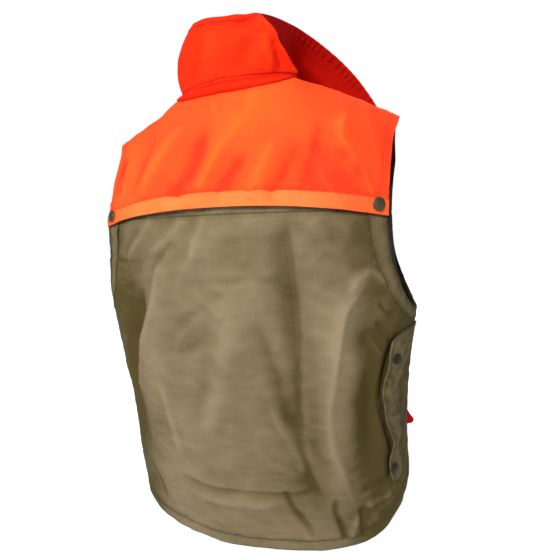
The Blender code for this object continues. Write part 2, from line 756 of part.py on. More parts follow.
def make_zip_tape(side_name, material):
    side = SIDES[side_name]
    end_z = FRONT_NECK[side_name]["z"] - TAPE_BELOW_NECK

    def surface(across, share):
        z = hem_z(2.0) + TAPE_ABOVE_HEM + (end_z - hem_z(2.0)) * share
        x = front_edge_x(z, side_name) - TAPE_SHOWS + TAPE_WIDTH * across
        return centre_front_point(side * x, z, -PANEL_WALL - LAYER_GAP)

    return sheet_wall("zip_tape_" + side_name, surface, (0.0, 1.0), np.linspace(0, 1, 26),
                      TAPE_WALL, material)


def make_zip_chain(material):
    top = SLIDER_Z - SLIDER_SIZE[2] / 2 - SEAM_GAP

    def surface(across, share):
        z = hem_z(2.0) + TAPE_ABOVE_HEM + (top - hem_z(2.0) - TAPE_ABOVE_HEM) * share
        return centre_front_point(across * CHAIN_WIDTH / 2, z, CHAIN_OUT)

    return sheet_wall("zip_chain", surface, (-1.0, 1.0), np.linspace(0, 1, 18), CHAIN_DEPTH, material)


def box_mesh(name, size, centre, bevel):
    mesh = bpy.data.meshes.new(name)
    shape = bmesh.new()
    bmesh.ops.create_cube(shape, size=1.0)
    bmesh.ops.scale(shape, vec=size, verts=shape.verts)
    bmesh.ops.translate(shape, vec=centre, verts=shape.verts)
    if bevel:
        bmesh.ops.bevel(shape, geom=shape.edges, offset=bevel, segments=1, affect="EDGES")
    shape.to_mesh(mesh)
    shape.free()
    return mesh


def cylinder_mesh(name, radius, length, centre, segments=16):
    """A cylinder along X."""
    mesh = bpy.data.meshes.new(name)
    shape = bmesh.new()
    bmesh.ops.create_cone(shape, cap_ends=True, segments=segments, radius1=radius, radius2=radius,
                          depth=length)
    bmesh.ops.rotate(shape, matrix=Matrix.Rotation(math.pi / 2, 3, "Y"), verts=shape.verts)
    bmesh.ops.translate(shape, vec=centre, verts=shape.verts)
    shape.to_mesh(mesh)
    shape.free()
    return mesh


def boolean(part, tool_mesh, operation, material):
    tool = link_object(part.name + "_" + tool_mesh.name, tool_mesh, material, "cutters")
    tool.hide_render = True
    tool.display_type = "WIRE"
    tool.matrix_world = part.matrix_world
    step = part.modifiers.new(tool_mesh.name, "BOOLEAN")
    step.operation = operation
    step.object = tool


def make_slider_and_pull(material):
    """The slider fills the gap between the fronts; its pull turns on a pin between two ears."""
    depth, height = SLIDER_SIZE[1:]
    front = centre_front_point(0.0001, SLIDER_Z, 0.0)[1]
    body_y = front + SLIDER_BACK - depth / 2
    block = box_mesh("slider_body", SLIDER_SIZE, (0, 0, 0), SLIDER_BEVEL)
    slider = link_object("zip_slider", block, material)
    slider.location = (0.0, body_y, SLIDER_Z)
    bpy.context.view_layer.update()
    pin_y = -depth / 2 - PIN_STAND_OFF
    pin_z = height / 2 - PIN_BELOW_TOP
    ear_x = PULL_SIZE[0] / 2 + EAR_GAP + EAR_THICKNESS / 2
    for sign in (-1, 1):
        size = (EAR_THICKNESS, PIN_STAND_OFF + PIN_RADIUS + EAR_ROOT, EAR_HEIGHT)
        centre = (sign * ear_x, pin_y + size[1] / 2 - PIN_RADIUS - EAR_PAST_PIN, pin_z)
        boolean(slider, box_mesh("ear", size, centre, 0.0), "UNION", material)
    pin_length = 2 * ear_x
    boolean(slider, cylinder_mesh("pin", PIN_RADIUS, pin_length, (0, pin_y, pin_z), 12), "UNION", material)

    length = PULL_SIZE[2]
    plate = box_mesh("pull_plate", PULL_SIZE, (0, 0, -length / 2 - EYE_RADIUS * 0.5), PULL_BEVEL)
    pull = link_object("zip_pull", plate, material)
    pull.location = (0.0, body_y + pin_y, SLIDER_Z + pin_z)
    bpy.context.view_layer.update()
    boolean(pull, cylinder_mesh("eye", EYE_RADIUS, PULL_SIZE[0], (0, 0, 0), 20), "UNION", material)
    hole = cylinder_mesh("eye_hole", PIN_RADIUS + PIN_CLEARANCE, PULL_SIZE[0] + 0.004, (0, 0, 0), 16)
    boolean(pull, hole, "DIFFERENCE", material)


def main():
    for old in list(bpy.data.objects):
        bpy.data.objects.remove(old, do_unlink=True)
    for name in ("hunting_vest", "cutters"):
        bpy.context.scene.collection.children.link(bpy.data.collections.new(name))
    khaki, orange, red, tab_red, brass, black = [add_material(name) for name in MATERIALS]
    make_back_panel(khaki)
    make_back_yoke(orange)
    make_neck_band(orange)
    make_collar(red)
    for side_name in SIDES:
        make_front(side_name, khaki)
        make_front_yoke(side_name, orange)
        make_armhole_band(side_name, khaki)
        make_side_flap(side_name, khaki)
        make_tab(side_name, tab_red)
        make_zip_tape(side_name, black)
    make_snaps(brass)
    make_zip_chain(black)
    make_slider_and_pull(brass)


if __name__ == "__main__":
    main()
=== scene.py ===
"""Looks of the hunting vest: cloth shells, linings, stitches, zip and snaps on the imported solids."""
import math

import bmesh
import bpy
import numpy as np
from mathutils import Matrix, Vector


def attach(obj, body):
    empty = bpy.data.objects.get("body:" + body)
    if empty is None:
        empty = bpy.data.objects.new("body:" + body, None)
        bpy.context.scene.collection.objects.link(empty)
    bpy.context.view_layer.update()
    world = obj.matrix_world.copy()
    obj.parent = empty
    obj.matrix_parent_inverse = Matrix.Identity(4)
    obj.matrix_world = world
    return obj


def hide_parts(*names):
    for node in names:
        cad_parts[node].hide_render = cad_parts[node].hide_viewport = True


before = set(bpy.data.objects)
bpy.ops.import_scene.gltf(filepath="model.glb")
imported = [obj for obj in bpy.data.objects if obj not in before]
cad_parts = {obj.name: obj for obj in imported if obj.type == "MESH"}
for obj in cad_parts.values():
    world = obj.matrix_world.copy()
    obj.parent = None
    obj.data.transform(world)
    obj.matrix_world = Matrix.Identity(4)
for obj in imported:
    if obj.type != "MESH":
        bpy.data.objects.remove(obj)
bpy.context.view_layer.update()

bl_info = {
    "name": "Hunting vest looks",
    "version": (1, 0, 0),
    "blender": (4, 5, 0),
    "location": "3D View > Sidebar > Vest",
    "description": "Cloth, lining, stitching, zip and snaps of a worn hunting vest",
    "category": "Object",
}

SIDES = {"left": 1.0, "right": -1.0}

# The body form, in metres: rings with height, left half, right half, back reach, front reach, side line
RING_POWER = 2.4
RINGS = np.array([
    (-0.100, 0.2480, 0.2500, 0.0390, -0.2050, -0.1000),
    (-0.175, 0.2480, 0.2500, 0.0400, -0.2180, -0.1000),
    (-0.316, 0.2545, 0.2545, 0.0430, -0.2300, -0.1056),
    (-0.400, 0.2440, 0.2465, 0.0455, -0.2350, -0.1050),
    (-0.480, 0.2375, 0.2430, 0.0465, -0.2390, -0.1060),
    (-0.580, 0.2400, 0.2470, 0.0370, -0.2420, -0.1150),
    (-0.700, 0.2440, 0.2500, 0.0170, -0.2440, -0.1280),
])
RIDGE_HEIGHT, RIDGE_Y, RIDGE_Y_SLOPE = 0.031, -0.064, -0.100
RIDGE_DROP = ((0.5595, 1.300), (0.8820, 1.653))
NAPE_ROLL_POWER, BACK_ROLL_POWER, FRONT_ROLL_POWER = 2.6, (1.3, 1.8), 1.7
SHOULDER_SEAM_FORWARD = -0.10
YOKE_EDGE_Z, YOKE_EDGE_RISE, YOKE_EDGE_LIFT, YOKE_CORNER_X = -0.175, 0.022, 0.0025, 0.2090
UNDERLAP, UNDERLAP_TUCK, UPPER_LEVEL_Z, ARMHOLE_BOTTOM_Z = 0.032, 0.0020, -0.195, -0.318
HEM = np.array([
    # place, height
    (-2.00, -0.674), (-1.50, -0.642), (-1.00, -0.604), (-0.82, -0.622), (-0.73, -0.640),
    (-0.65, -0.659), (-0.54, -0.673), (-0.40, -0.681), (-0.15, -0.687), (0.12, -0.692),
    (0.30, -0.685), (0.60, -0.676), (1.00, -0.661), (1.50, -0.668), (2.00, -0.674),
])
NECK_HALF_WIDTH, SHOULDER_TIP_X, ZIP_HALF_GAP, SLIDER_Z = 0.085, 0.224, 0.0062, -0.240
FRONT_NECK = {"left": (0.060, -0.062), "right": (0.124, -0.082)}
ARMHOLE = np.array([
    # height, left back, right back, left front, right front: shares of the way to the side seam
    (-0.0380, 0.706, 0.726, 0.716, 0.736), (-0.0700, 0.616, 0.672, 0.680, 0.716),
    (-0.1100, 0.604, 0.648, 0.652, 0.692), (-0.1750, 0.614, 0.630, 0.648, 0.680),
    (-0.2200, 0.632, 0.642, 0.660, 0.684), (-0.2520, 0.668, 0.672, 0.696, 0.706),
    (-0.2820, 0.742, 0.738, 0.765, 0.765), (-0.3000, 0.808, 0.800, 0.824, 0.824),
    (-0.3100, 0.868, 0.862, 0.878, 0.878), (-0.3160, 0.932, 0.928, 0.936, 0.936),
    (-0.3180, 1.000, 1.000, 1.000, 1.000),
])
FOLDS = np.array([
    # x_top, z_top, x_bottom, z_bottom, depth, half_width
    (-0.165, -0.265, -0.135, -0.640, 0.0080, 0.026),
    (-0.085, -0.185, -0.130, -0.640, -0.0070, 0.020),
    (0.095, -0.200, 0.150, -0.480, 0.0060, 0.030),
    (0.160, -0.240, 0.185, -0.560, -0.0060, 0.022),
])
COLLAR_BACK_SHARE, COLLAR_SEAM_LIFT = 0.45, 0.0016
COLLAR_STATIONS = np.array([
    # along, rim_x, rim_y, rim_z, mid_x, mid_y
    (-1.00, -0.195, -0.155, -0.012, 0.000, 0.000), (-0.86, -0.178, -0.148, 0.014, 0.004, -0.002),
    (-0.72, -0.153, -0.136, 0.043, 0.012, -0.006), (-0.58, -0.126, -0.118, 0.066, 0.016, -0.008),
    (-0.44, -0.098, -0.092, 0.084, 0.012, -0.006), (-0.30, -0.077, -0.060, 0.090, 0.000, 0.000),
    (-0.18, -0.053, -0.030, 0.092, -0.010, 0.006), (0.00, 0.002, -0.020, 0.094, 0.000, 0.005),
    (0.18, 0.038, -0.032, 0.099, 0.004, 0.004), (0.34, 0.066, -0.062, 0.105, 0.014, 0.002),
    (0.52, 0.076, -0.098, 0.090, 0.012, 0.000), (0.76, 0.066, -0.138, 0.050, 0.008, 0.000),
    (1.00, 0.046, -0.158, 0.022, 0.000, 0.000),
])
YOKE_WALL, BAND_WALL, TAPE_WALL, LAYER_GAP = 0.0020, 0.0014, 0.0012, 0.0006
# Thickness of the cloth shells, a little less than the walls of the solids
PANEL_CLOTH, COLLAR_CLOTH = 0.0016, 0.0026
NECK_BAND_CLOTH, ARM_BAND_CLOTH, FLAP_CLOTH = 0.0012, 0.0008, 0.0013
FLAP = np.array([
    # height, back share, front share, stand-off
    (-0.3360, 0.735, 0.930, 0.0012), (-0.3440, 0.665, 0.905, 0.0025), (-0.3580, 0.637, 0.880, 0.0035),
    (-0.3800, 0.628, 0.835, 0.0042), (-0.4000, 0.617, 0.785, 0.0048), (-0.4200, 0.613, 0.742, 0.0050),
    (-0.4400, 0.620, 0.752, 0.0050), (-0.4600, 0.640, 0.777, 0.0048), (-0.4800, 0.664, 0.790, 0.0046),
    (-0.5010, 0.686, 0.790, 0.0042), (-0.5180, 0.677, 0.770, 0.0040), (-0.5420, 0.660, 0.793, 0.0035),
    (-0.5600, 0.665, 0.800, 0.0030), (-0.5740, 0.685, 0.785, 0.0022),
])
YOKE_SNAP_Z, YOKE_SNAP_X = -0.1600, {"left": 0.1885, "right": 0.1962}
FLAP_FORWARD = {"left": 0.20, "right": 0.0}
FLAP_SNAPS = {"upper": (-0.3710, 0.674), "lower": (-0.5470, 0.686)}
SNAP_RADIUS, FLAP_SNAP_RADIUS, SNAP_HEIGHT = 0.0092, 0.0078, 0.0034
TAPE_SHOWS, TAPE_WIDTH, TAPE_DEPTH = 0.0056, 0.013, 0.0020
TEETH_BELOW_SLIDER, TEETH_ABOVE_SLIDER, TEETH_END = 0.0095, 0.010, 0.008
TEETH_CLOSED_X, TEETH_CLOSED_DEPTH, TEETH_OPEN_X, TEETH_OPEN_DEPTH = 0.0014, 0.0012, 0.0010, 0.0022
TAB_PLACE, TAB_Z, TAB_LENGTH, TAB_REACH, TAB_THICKNESS = 1.080, -0.526, 0.038, 0.014, 0.0020
TAB_OUTLINE = (
    # reach and length, as shares of the tab's own
    (0.0, 0.62), (0.30, 0.34), (0.58, 0.10), (0.92, -0.08), (1.0, -0.17), (0.92, -0.27), (0.70, -0.34),
    (0.0, -0.38),
)
SNAP_PROFILE = (
    # share of the radius, share of the height: a flat seat, a rolled rim, a groove and a low dome
    (0.0, 0.0), (0.90, 0.0), (0.97, 0.06), (1.0, 0.20), (1.0, 0.42), (0.985, 0.56), (0.94, 0.66),
    (0.88, 0.69), (0.83, 0.66), (0.80, 0.60), (0.77, 0.62), (0.70, 0.72), (0.58, 0.83), (0.42, 0.92),
    (0.22, 0.98), (0.0, 1.0),
)
ARM_BAND_NARROW, ARM_BAND_WIDE, NECK_BAND_WIDTH = 0.013, 0.026, 0.0155
STITCH_LIFT, STITCH_UNEVEN = 0.0004, 0.06
# Where the sewn lines run: metres from the edge they follow
HIDDEN_SEAM, YOKE_END_STITCH, FRONT_EDGE_STITCH, PLAIN_SEAM = 0.0415, 0.011, 0.006, 0.004
COLLAR_RIM_STITCH, COLLAR_SEAM_STITCH, COLLAR_END_STITCH = 0.009, 0.0060, 0.006
FRONT_YOKE_LOW_STITCH, FRONT_YOKE_EDGE_STITCH, FLAP_STITCH = 0.003, 0.008, 0.0030
BAND_OUTER_STITCH, BAND_EDGE_STITCH, BAND_FOLD_EDGE = 0.0022, 0.0014, 0.0008
NECK_BAND_STITCH, TAPE_STITCH = 0.0012, 0.0035
# The camera stands where the photograph was taken from
CAMERA_PLACE = (-0.2010, 0.5341, -0.1527)
CAMERA_YAW, CAMERA_PITCH, CAMERA_ROLL = 0.2627, -0.1962, 0.0519
CAMERA_LENS, CAMERA_SENSOR, CAMERA_SHIFT, CAMERA_NEAR = 25.714, 36.0, (0.0086, 0.0061), 0.02
FLOOR_Z, FLOOR_RADIUS, LIGHTS_AIM = -0.80, 9.0, (0, -0.1, -0.3)

# Creases, listed one by one. Each: depth (a trough if negative), softness towards the wearer's left and
# towards the right of a line that runs down, crest sharpness (1 sharp, 2 soft), and its line
ROUND = 0.34          # metres of cloth for one step of place
CREASE_DEPTH, CREASE_SOFTNESS = 1.40, 0.72
SEAM_TUCK = 0.0022
BODY_CREASES = (
    # the long fall from the middle of the yoke
    (-0.0052, 0.030, 0.007, 1.3, ((-.215, -.160), (-.222, -.196), (-.229, -.244), (-.237, -.294),
                                  (-.243, -.346), (-.247, -.396), (-.250, -.462), (-.262, -.515),
                                  (-.296, -.560), (-.345, -.592))),
    (-0.0040, 0.005, 0.010, 1.4, ((-.384, -.575), (-.369, -.602), (-.397, -.644), (-.406, -.668))),
    # the crest at the right and the hollow behind it
    (0.0042, 0.018, 0.008, 1.2, ((-.520, -.252), (-.501, -.259), (-.450, -.281), (-.419, -.294),
                                 (-.404, -.314), (-.392, -.348), (-.383, -.390), (-.364, -.441),
                                 (-.378, -.488), (-.415, -.531), (-.452, -.582), (-.485, -.622))),
    (0.0030, 0.009, 0.009, 1.4, ((-.420, -.280), (-.455, -.262), (-.500, -.250), (-.544, -.247),
                                 (-.590, -.258), (-.630, -.275))),
    (-0.0048, 0.030, 0.028, 2.0, ((-.470, -.290), (-.520, -.354), (-.560, -.431), (-.570, -.485),
                                  (-.540, -.560))),
    (0.0040, 0.010, 0.012, 1.6, ((-.485, -.610), (-.455, -.636), (-.425, -.664))),
    (-0.0035, 0.008, 0.014, 1.5, ((-.500, -.600), (-.500, -.640), (-.520, -.668))),
    # the crest at the left and the hollow outside it
    (0.0045, 0.008, 0.018, 1.2, ((.2565, -.222), (.269, -.239), (.300, -.281), (.358, -.320),
                                 (.422, -.363), (.500, -.4215), (.520, -.480))),
    (-0.0050, 0.020, 0.016, 2.0, ((.350, -.250), (.420, -.310), (.520, -.370), (.600, -.450))),
    # drags from the yoke's seam at the left
    (0.0026, 0.006, 0.010, 1.3, ((.150, -.162), (.1685, -.171), (.242, -.1975), (.3225, -.214))),
    (0.0024, 0.006, 0.009, 1.3, ((.300, -.160), (.323, -.174), (.416, -.208), (.470, -.240))),
    (-0.0018, 0.006, 0.006, 1.6, ((.190, -.190), (.260, -.220), (.300, -.240))),
    (0.0020, 0.008, 0.008, 1.6, ((.060, -.165), (.100, -.190), (.130, -.225))),
    (-0.0016, 0.003, 0.005, 1.2, ((.760, -.224), (.600, -.222), (.450, -.226), (.330, -.2254))),
    # small level creases in the middle
    (-0.0011, 0.003, 0.006, 1.2, ((.110, -.251), (.020, -.253), (-.080, -.250), (-.189, -.253))),
    (-0.0010, 0.008, 0.010, 1.6, ((.020, -.265), (.043, -.273), (.124, -.295), (.2285, -.316))),
    (0.0008, 0.008, 0.008, 1.6, ((.060, -.295), (.150, -.318), (.230, -.345))),
    (-0.0006, 0.006, 0.008, 1.5, ((.100, -.330), (.180, -.352), (.250, -.352))),
    # soft standing waves of the middle
    (0.0026, 0.022, 0.022, 2.0, ((-.0107, -.262), (.017, -.334), (.0757, -.424), (.150, -.510))),
    (-0.0012, 0.020, 0.020, 2.0, ((.080, -.300), (.110, -.390), (.180, -.480))),
    (-0.0026, 0.020, 0.014, 1.6, ((-.080, -.290), (-.105, -.320), (-.160, -.381), (-.194, -.432),
                                  (-.249, -.462), (-.300, -.494), (-.318, -.536))),
    (0.0022, 0.010, 0.010, 1.8, ((-.130, -.420), (-.190, -.470), (-.240, -.510), (-.262, -.545))),
    (0.0020, 0.009, 0.009, 1.8, ((.330, -.400), (.300, -.470), (.260, -.540))),
    # the break above the hem
    (-0.0028, 0.010, 0.004, 1.3, ((.300, -.560), (.248, -.572), (.136, -.581), (.002, -.578),
                                  (-.110, -.576), (-.240, -.5705), (-.314, -.554))),
    (0.0022, 0.010, 0.012, 1.8, ((.250, -.596), (.100, -.604), (-.050, -.600), (-.150, -.590))),
    (-0.0038, 0.005, 0.009, 1.2, ((-.160, -.570), (-.1692, -.5756), (-.202, -.606), (-.247, -.636),
                                  (-.283, -.668))),
    (-0.0028, 0.008, 0.004, 1.3, ((-.720, -.5736), (-.620, -.572), (-.573, -.570), (-.490, -.5715))),
    (0.0025, 0.012, 0.010, 1.8, ((-.700, -.595), (-.600, -.598), (-.500, -.606))),
    (-0.0020, 0.008, 0.008, 1.8, ((.520, -.560), (.460, -.600), (.430, -.650))),
    # gathers at the right armhole
    (-0.0016, 0.005, 0.005, 1.5, ((-.560, -.285), (-.600, -.300), (-.680, -.318))),
    (-0.0018, 0.006, 0.006, 1.5, ((-.540, -.310), (-.620, -.335), (-.660, -.350))),
    (0.0018, 0.006, 0.006, 1.6, ((-.520, -.330), (-.560, -.350), (-.620, -.370))),
    # the fronts: drags from the armholes, waves beside the zip and breaks over the hem
    (-0.0040, 0.030, 0.019, 1.6, ((1.28, -.300), (1.40, -.350), (1.52, -.430), (1.58, -.520))),
    (0.0036, 0.023, 0.023, 1.4, ((1.36, -.290), (1.47, -.340), (1.60, -.420), (1.66, -.500))),
    (-0.0032, 0.023, 0.023, 1.8, ((1.72, -.260), (1.76, -.360), (1.74, -.470), (1.78, -.580))),
    (0.0027, 0.027, 0.023, 1.8, ((1.86, -.280), (1.88, -.400), (1.85, -.520))),
    (-0.0023, 0.019, 0.009, 1.4, ((1.15, -.560), (1.35, -.585), (1.60, -.590), (1.80, -.575))),
    (0.0027, 0.027, 0.027, 1.8, ((1.12, -.380), (1.16, -.460), (1.20, -.560))),
    (-0.0038, 0.019, 0.030, 1.6, ((-1.26, -.300), (-1.38, -.345), (-1.48, -.420), (-1.56, -.500))),
    (0.0034, 0.023, 0.023, 1.4, ((-1.32, -.290), (-1.44, -.330), (-1.58, -.400), (-1.68, -.470))),
    (-0.0031, 0.023, 0.023, 1.8, ((-1.70, -.270), (-1.74, -.370), (-1.70, -.480), (-1.75, -.600))),
    (0.0025, 0.027, 0.023, 1.8, ((-1.88, -.300), (-1.86, -.410), (-1.89, -.530))),
    (-0.0023, 0.009, 0.019, 1.4, ((-1.12, -.530), (-1.30, -.560), (-1.55, -.590), (-1.82, -.590))),
    (0.0025, 0.027, 0.027, 1.8, ((-1.10, -.370), (-1.14, -.450), (-1.18, -.540))),
)
FLAP_HOLLOW = (
    # the cloth falls away behind the right flap's free edge
    (-0.0080, 0.012, 0.030, 2.0, ((-.720, -.322), (-.668, -.360), (-.644, -.400), (-.648, -.440),
                                  (-.682, -.480), (-.716, -.515), (-.698, -.550), (-.716, -.610))),
)
BODY_PAINTED_LIGHT = (
    # how far round, height, radius, amount: a painted highlight above 0, a painted shade below
    (0.100, -0.570, 0.080, 0.30), (0.020, -0.250, 0.060, 0.25), (-0.030, -0.420, 0.050, -0.25),
    (-0.100, -0.580, 0.050, -0.65), (-0.170, -0.450, 0.050, -0.35), (-0.120, -0.240, 0.050, -0.05),
    (-0.075, -0.460, 0.030, -0.35), (0.110, -0.200, 0.040, -0.20), (0.130, -0.265, 0.060, -0.40),
    (0.150, -0.340, 0.045, -0.40), (-0.155, -0.270, 0.045, 0.40), (-0.150, -0.345, 0.040, 0.40),
    (0.095, -0.655, 0.045, 0.40), (-0.064, -0.545, 0.030, -0.30),
)
YOKE_PAINTED_LIGHT = (
    # x, height, radius, amount: a painted highlight above 0, a painted shade below
    (-0.050, -0.025, 0.050, 0.60), (0.165, -0.100, 0.055, 0.55), (0.010, -0.110, 0.040, -0.20),
    (-0.140, -0.145, 0.060, -0.70), (0.075, -0.145, 0.045, -0.40), (-0.200, -0.070, 0.050, -0.30),
)
COLLAR_PAINTED_LIGHT = (
    # along, height, radius, amount: a painted highlight above 0, a painted shade below
    (-0.030, 0.092, 0.012, -0.60), (-0.050, 0.046, 0.007, 0.60), (-0.062, 0.018, 0.008, -0.50),
    (0.082, 0.040, 0.024, -0.50), (0.020, 0.060, 0.024, 0.30), (-0.012, 0.030, 0.014, -0.25),
)
FALL = 0.19           # metres of cloth from the shoulder ridge to the yoke's edge
QUILT_PITCH = 0.05    # metres between two quilted lines of the lining
YOKE_BAND, HEM_BAND, HEM_RELIEF = 0.0200, 0.0210, 0.0007
NOT_SEWN = 1.0        # metres: farther from any seam than the cloth reaches
YOKE_CREASES = (
    # the same columns, with lines of x and height
    (-0.0010, 0.008, 0.007, 1.6, ((-.035, -.006), (-.033, -.020), (-.0288, -.034))),
    (0.0040, 0.014, 0.010, 1.6, ((-.0643, -.012), (-.0359, -.0475), (-.010, -.076), (.020, -.120),
                                 (.028, -.138))),
    (-0.0034, 0.010, 0.009, 1.6, ((-.046, -.078), (-.0223, -.108), (-.0035, -.132), (.004, -.144))),
    (-0.0042, 0.016, 0.012, 1.8, ((.0085, -.038), (.0328, -.098), (.0572, -.128), (.066, -.145))),
    (0.0036, 0.016, 0.012, 1.8, ((.056, -.045), (.0624, -.056), (.1074, -.105), (.120, -.140))),
    (-0.0034, 0.014, 0.012, 1.8, ((.105, -.050), (.135, -.095), (.150, -.140))),
    (0.0034, 0.012, 0.012, 1.8, ((-.0796, -.064), (-.0478, -.128), (-.038, -.146))),
    (-0.0034, 0.012, 0.010, 1.7, ((-.108, -.075), (-.073, -.1358), (-.066, -.150))),
    (-0.0036, 0.010, 0.012, 1.8, ((.185, -.062), (.188, -.095), (.182, -.135))),
    (0.0036, 0.012, 0.010, 1.6, ((-.158, -.035), (-.151, -.071), (-.164, -.100), (-.176, -.123))),
    (-0.0030, 0.008, 0.009, 1.5, ((-.153, -.085), (-.160, -.098), (-.184, -.129))),
    (-0.0026, 0.010, 0.010, 1.8, ((-.130, -.050), (-.122, -.090), (-.112, -.140))),
    (0.0018, 0.005, 0.005, 1.5, ((-.176, -.110), (-.186, -.135), (-.190, -.150))),
    (0.0018, 0.006, 0.006, 1.6, ((.010, -.012), (.006, -.026), (.000, -.040))),
    (-0.0014, 0.0025, 0.0025, 1.5, ((-.078, -.150), (-.077, -.168), (-.076, -.178))),
    (-0.0020, 0.006, 0.008, 1.6, ((.028, -.150), (.060, -.158), (.110, -.164), (.160, -.166))),
)
COLLAR_HALF, COLLAR_TALL = 0.30, 0.105
COLLAR_CREASES = (
    # the same columns, with lines of along and height
    # the fold where the outer collar stops and the open wing goes on behind it
    (0.0062, 0.022, 0.0036, 1.3, ((-.135, 1.04), (-.155, .92), (-.172, .80), (-.210, .65), (-.258, .45),
                                  (-.350, .25), (-.425, .02), (-.445, -.08))),
    (0.0042, 0.008, 0.008, 1.5, ((-.225, .00), (-.200, .20), (-.175, .38), (-.165, .52), (-.160, .66))),
    (-0.0034, 0.010, 0.009, 1.7, ((-.300, .05), (-.262, .22), (-.222, .42), (-.200, .60))),
    (-0.0026, 0.020, 0.016, 1.8, ((-.060, 1.00), (-.100, .88), (-.135, .74), (-.150, .60))),
    (-0.0034, 0.012, 0.012, 1.8, ((-.070, .10), (-.085, .45), (-.120, .66))),
    (0.0030, 0.020, 0.020, 2.0, ((.060, .30), (.050, .60), (.020, .85))),
    (-0.0028, 0.016, 0.016, 2.0, ((.180, .10), (.150, .45), (.120, .80))),
    (-0.0050, 0.020, 0.020, 1.8, ((-.400, .12), (-.520, .34), (-.700, .44), (-.880, .42))),
    (0.0030, 0.012, 0.012, 1.8, ((-.460, .62), (-.600, .66), (-.780, .68))),
    (-0.0030, 0.014, 0.014, 1.8, ((.420, .15), (.520, .45), (.600, .78))),
    (0.0030, 0.014, 0.014, 1.8, ((.700, .20), (.740, .55), (.800, .85))),
)


class VestSettings(bpy.types.PropertyGroup):
    """Sizes and colours of the vest that a user would change."""
    crease_strength: bpy.props.FloatProperty(
        name="Crease strength", description="How deep the hand-placed creases are, as a share",
        default=1.0, min=0.0, max=2.0, subtype="FACTOR")
    yarn_pitch: bpy.props.FloatProperty(
        name="Yarn pitch", description="Distance between two yarns of the canvas",
        default=0.0011, min=0.0003, max=0.01, unit="LENGTH")
    stitch_length: bpy.props.FloatProperty(
        name="Stitch length", description="Distance from one stitch to the next",
        default=0.0034, min=0.001, max=0.02, unit="LENGTH")
    thread_radius: bpy.props.FloatProperty(
        name="Thread radius", description="Half the thickness of the sewing thread",
        default=0.00038, min=0.0001, max=0.002, unit="LENGTH")
    tooth_pitch: bpy.props.FloatProperty(
        name="Zip tooth pitch", description="Distance between two teeth of one zip tape",
        default=0.0030, min=0.001, max=0.01, unit="LENGTH")
    khaki: bpy.props.FloatVectorProperty(
        name="Khaki", description="Canvas of the body", default=(0.250, 0.194, 0.113),
        size=3, min=0.0, max=1.0, subtype="COLOR")
    # mixed in by the cloth's random darker tone and wherever the fold attribute paints shade
    khaki_deep: bpy.props.FloatVectorProperty(
        name="Khaki in folds", description="Canvas where it is rubbed in and shaded",
        default=(0.070, 0.051, 0.015), size=3, min=0.0, max=1.0, subtype="COLOR")
    orange: bpy.props.FloatVectorProperty(
        name="Orange", description="Cloth of the yoke", default=(1.0, 0.114, 0.018),
        size=3, min=0.0, max=1.0, subtype="COLOR")
    # mixed in by the cloth's random darker tone and wherever the fold attribute paints shade
    orange_deep: bpy.props.FloatVectorProperty(
        name="Orange in folds", description="Cloth of the yoke in its hollows",
        default=(1.0, 0.040, 0.012), size=3, min=0.0, max=1.0, subtype="COLOR")
    collar: bpy.props.FloatVectorProperty(
        name="Collar", description="Cloth of the collar", default=(1.0, 0.036, 0.005),
        size=3, min=0.0, max=1.0, subtype="COLOR")
    # mixed in by the cloth's random darker tone and wherever the fold attribute paints shade
    collar_deep: bpy.props.FloatVectorProperty(
        name="Collar in folds", description="Cloth of the collar in its hollows",
        default=(0.66, 0.008, 0.002), size=3, min=0.0, max=1.0, subtype="COLOR")
    lining: bpy.props.FloatVectorProperty(
        name="Lining", description="Quilted lining", default=(0.010, 0.008, 0.009),
        size=3, min=0.0, max=1.0, subtype="COLOR")
    brass: bpy.props.FloatVectorProperty(
        name="Aged brass", description="Snaps, slider and pull", default=(0.092, 0.076, 0.034),
        size=3, min=0.0, max=1.0, subtype="COLOR")
    floor: bpy.props.FloatVectorProperty(
        name="Floor", description="Plain studio floor", default=(0.86, 0.86, 0.86),
        size=3, min=0.0, max=1.0, subtype="COLOR")
    key_power: bpy.props.FloatProperty(
        name="Key light", description="Power of the soft key light", default=95.0, min=0.0,
        unit="POWER")


def settings():
    return bpy.context.scene.vest_settings


# The form of the garment

def smooth_column(table, at, column):
    """Read one column of a table at many places, along a smooth curve through its rows."""
    keys, values = table[:, 0], table[:, column]
    if keys[0] > keys[-1]:
        keys, values = keys[::-1], values[::-1]
    slopes = np.gradient(values, keys)
    at = np.clip(at, keys[0], keys[-1])
    i = np.clip(np.searchsorted(keys, at) - 1, 0, len(keys) - 2)
    span = keys[i + 1] - keys[i]
    t = (at - keys[i]) / span
    return ((2 * t ** 3 - 3 * t ** 2 + 1) * values[i] + (t ** 3 - 2 * t ** 2 + t) * slopes[i] * span
            + (3 * t ** 2 - 2 * t ** 3) * values[i + 1] + (t ** 3 - t ** 2) * slopes[i + 1] * span)


def smoothstep(low, high, value):
    t = np.clip((value - low) / (high - low), 0.0, 1.0)
    return t * t * (3 - 2 * t)


def unit(vectors):
    return vectors / np.maximum(np.linalg.norm(vectors, axis=-1, keepdims=True), 1e-12)


def ring_half(x, z):
    """Half the body's width at a height, on the side where x lies."""
    return np.where(x >= 0, smooth_column(RINGS, z, 1), smooth_column(RINGS, z, 2))


def ring_y(x, z, back):
    """y of the body's ring at x and z, behind or in front."""
    reach = np.where(back, smooth_column(RINGS, z, 3), smooth_column(RINGS, z, 4))
    side_y = smooth_column(RINGS, z, 5)
    across = np.minimum(np.abs(x) / ring_half(x, z), 1.0)
    return side_y + (reach - side_y) * (1 - across ** RING_POWER) ** (1 / RING_POWER)


def ridge(x):
    """Height and y of the shoulder ridge at x."""
    (left_drop, left_power), (right_drop, right_power) = RIDGE_DROP
    drop = np.where(x >= 0, left_drop * np.abs(x) ** left_power, right_drop * np.abs(x) ** right_power)
    return RIDGE_HEIGHT - drop, RIDGE_Y + RIDGE_Y_SLOPE * np.abs(x)


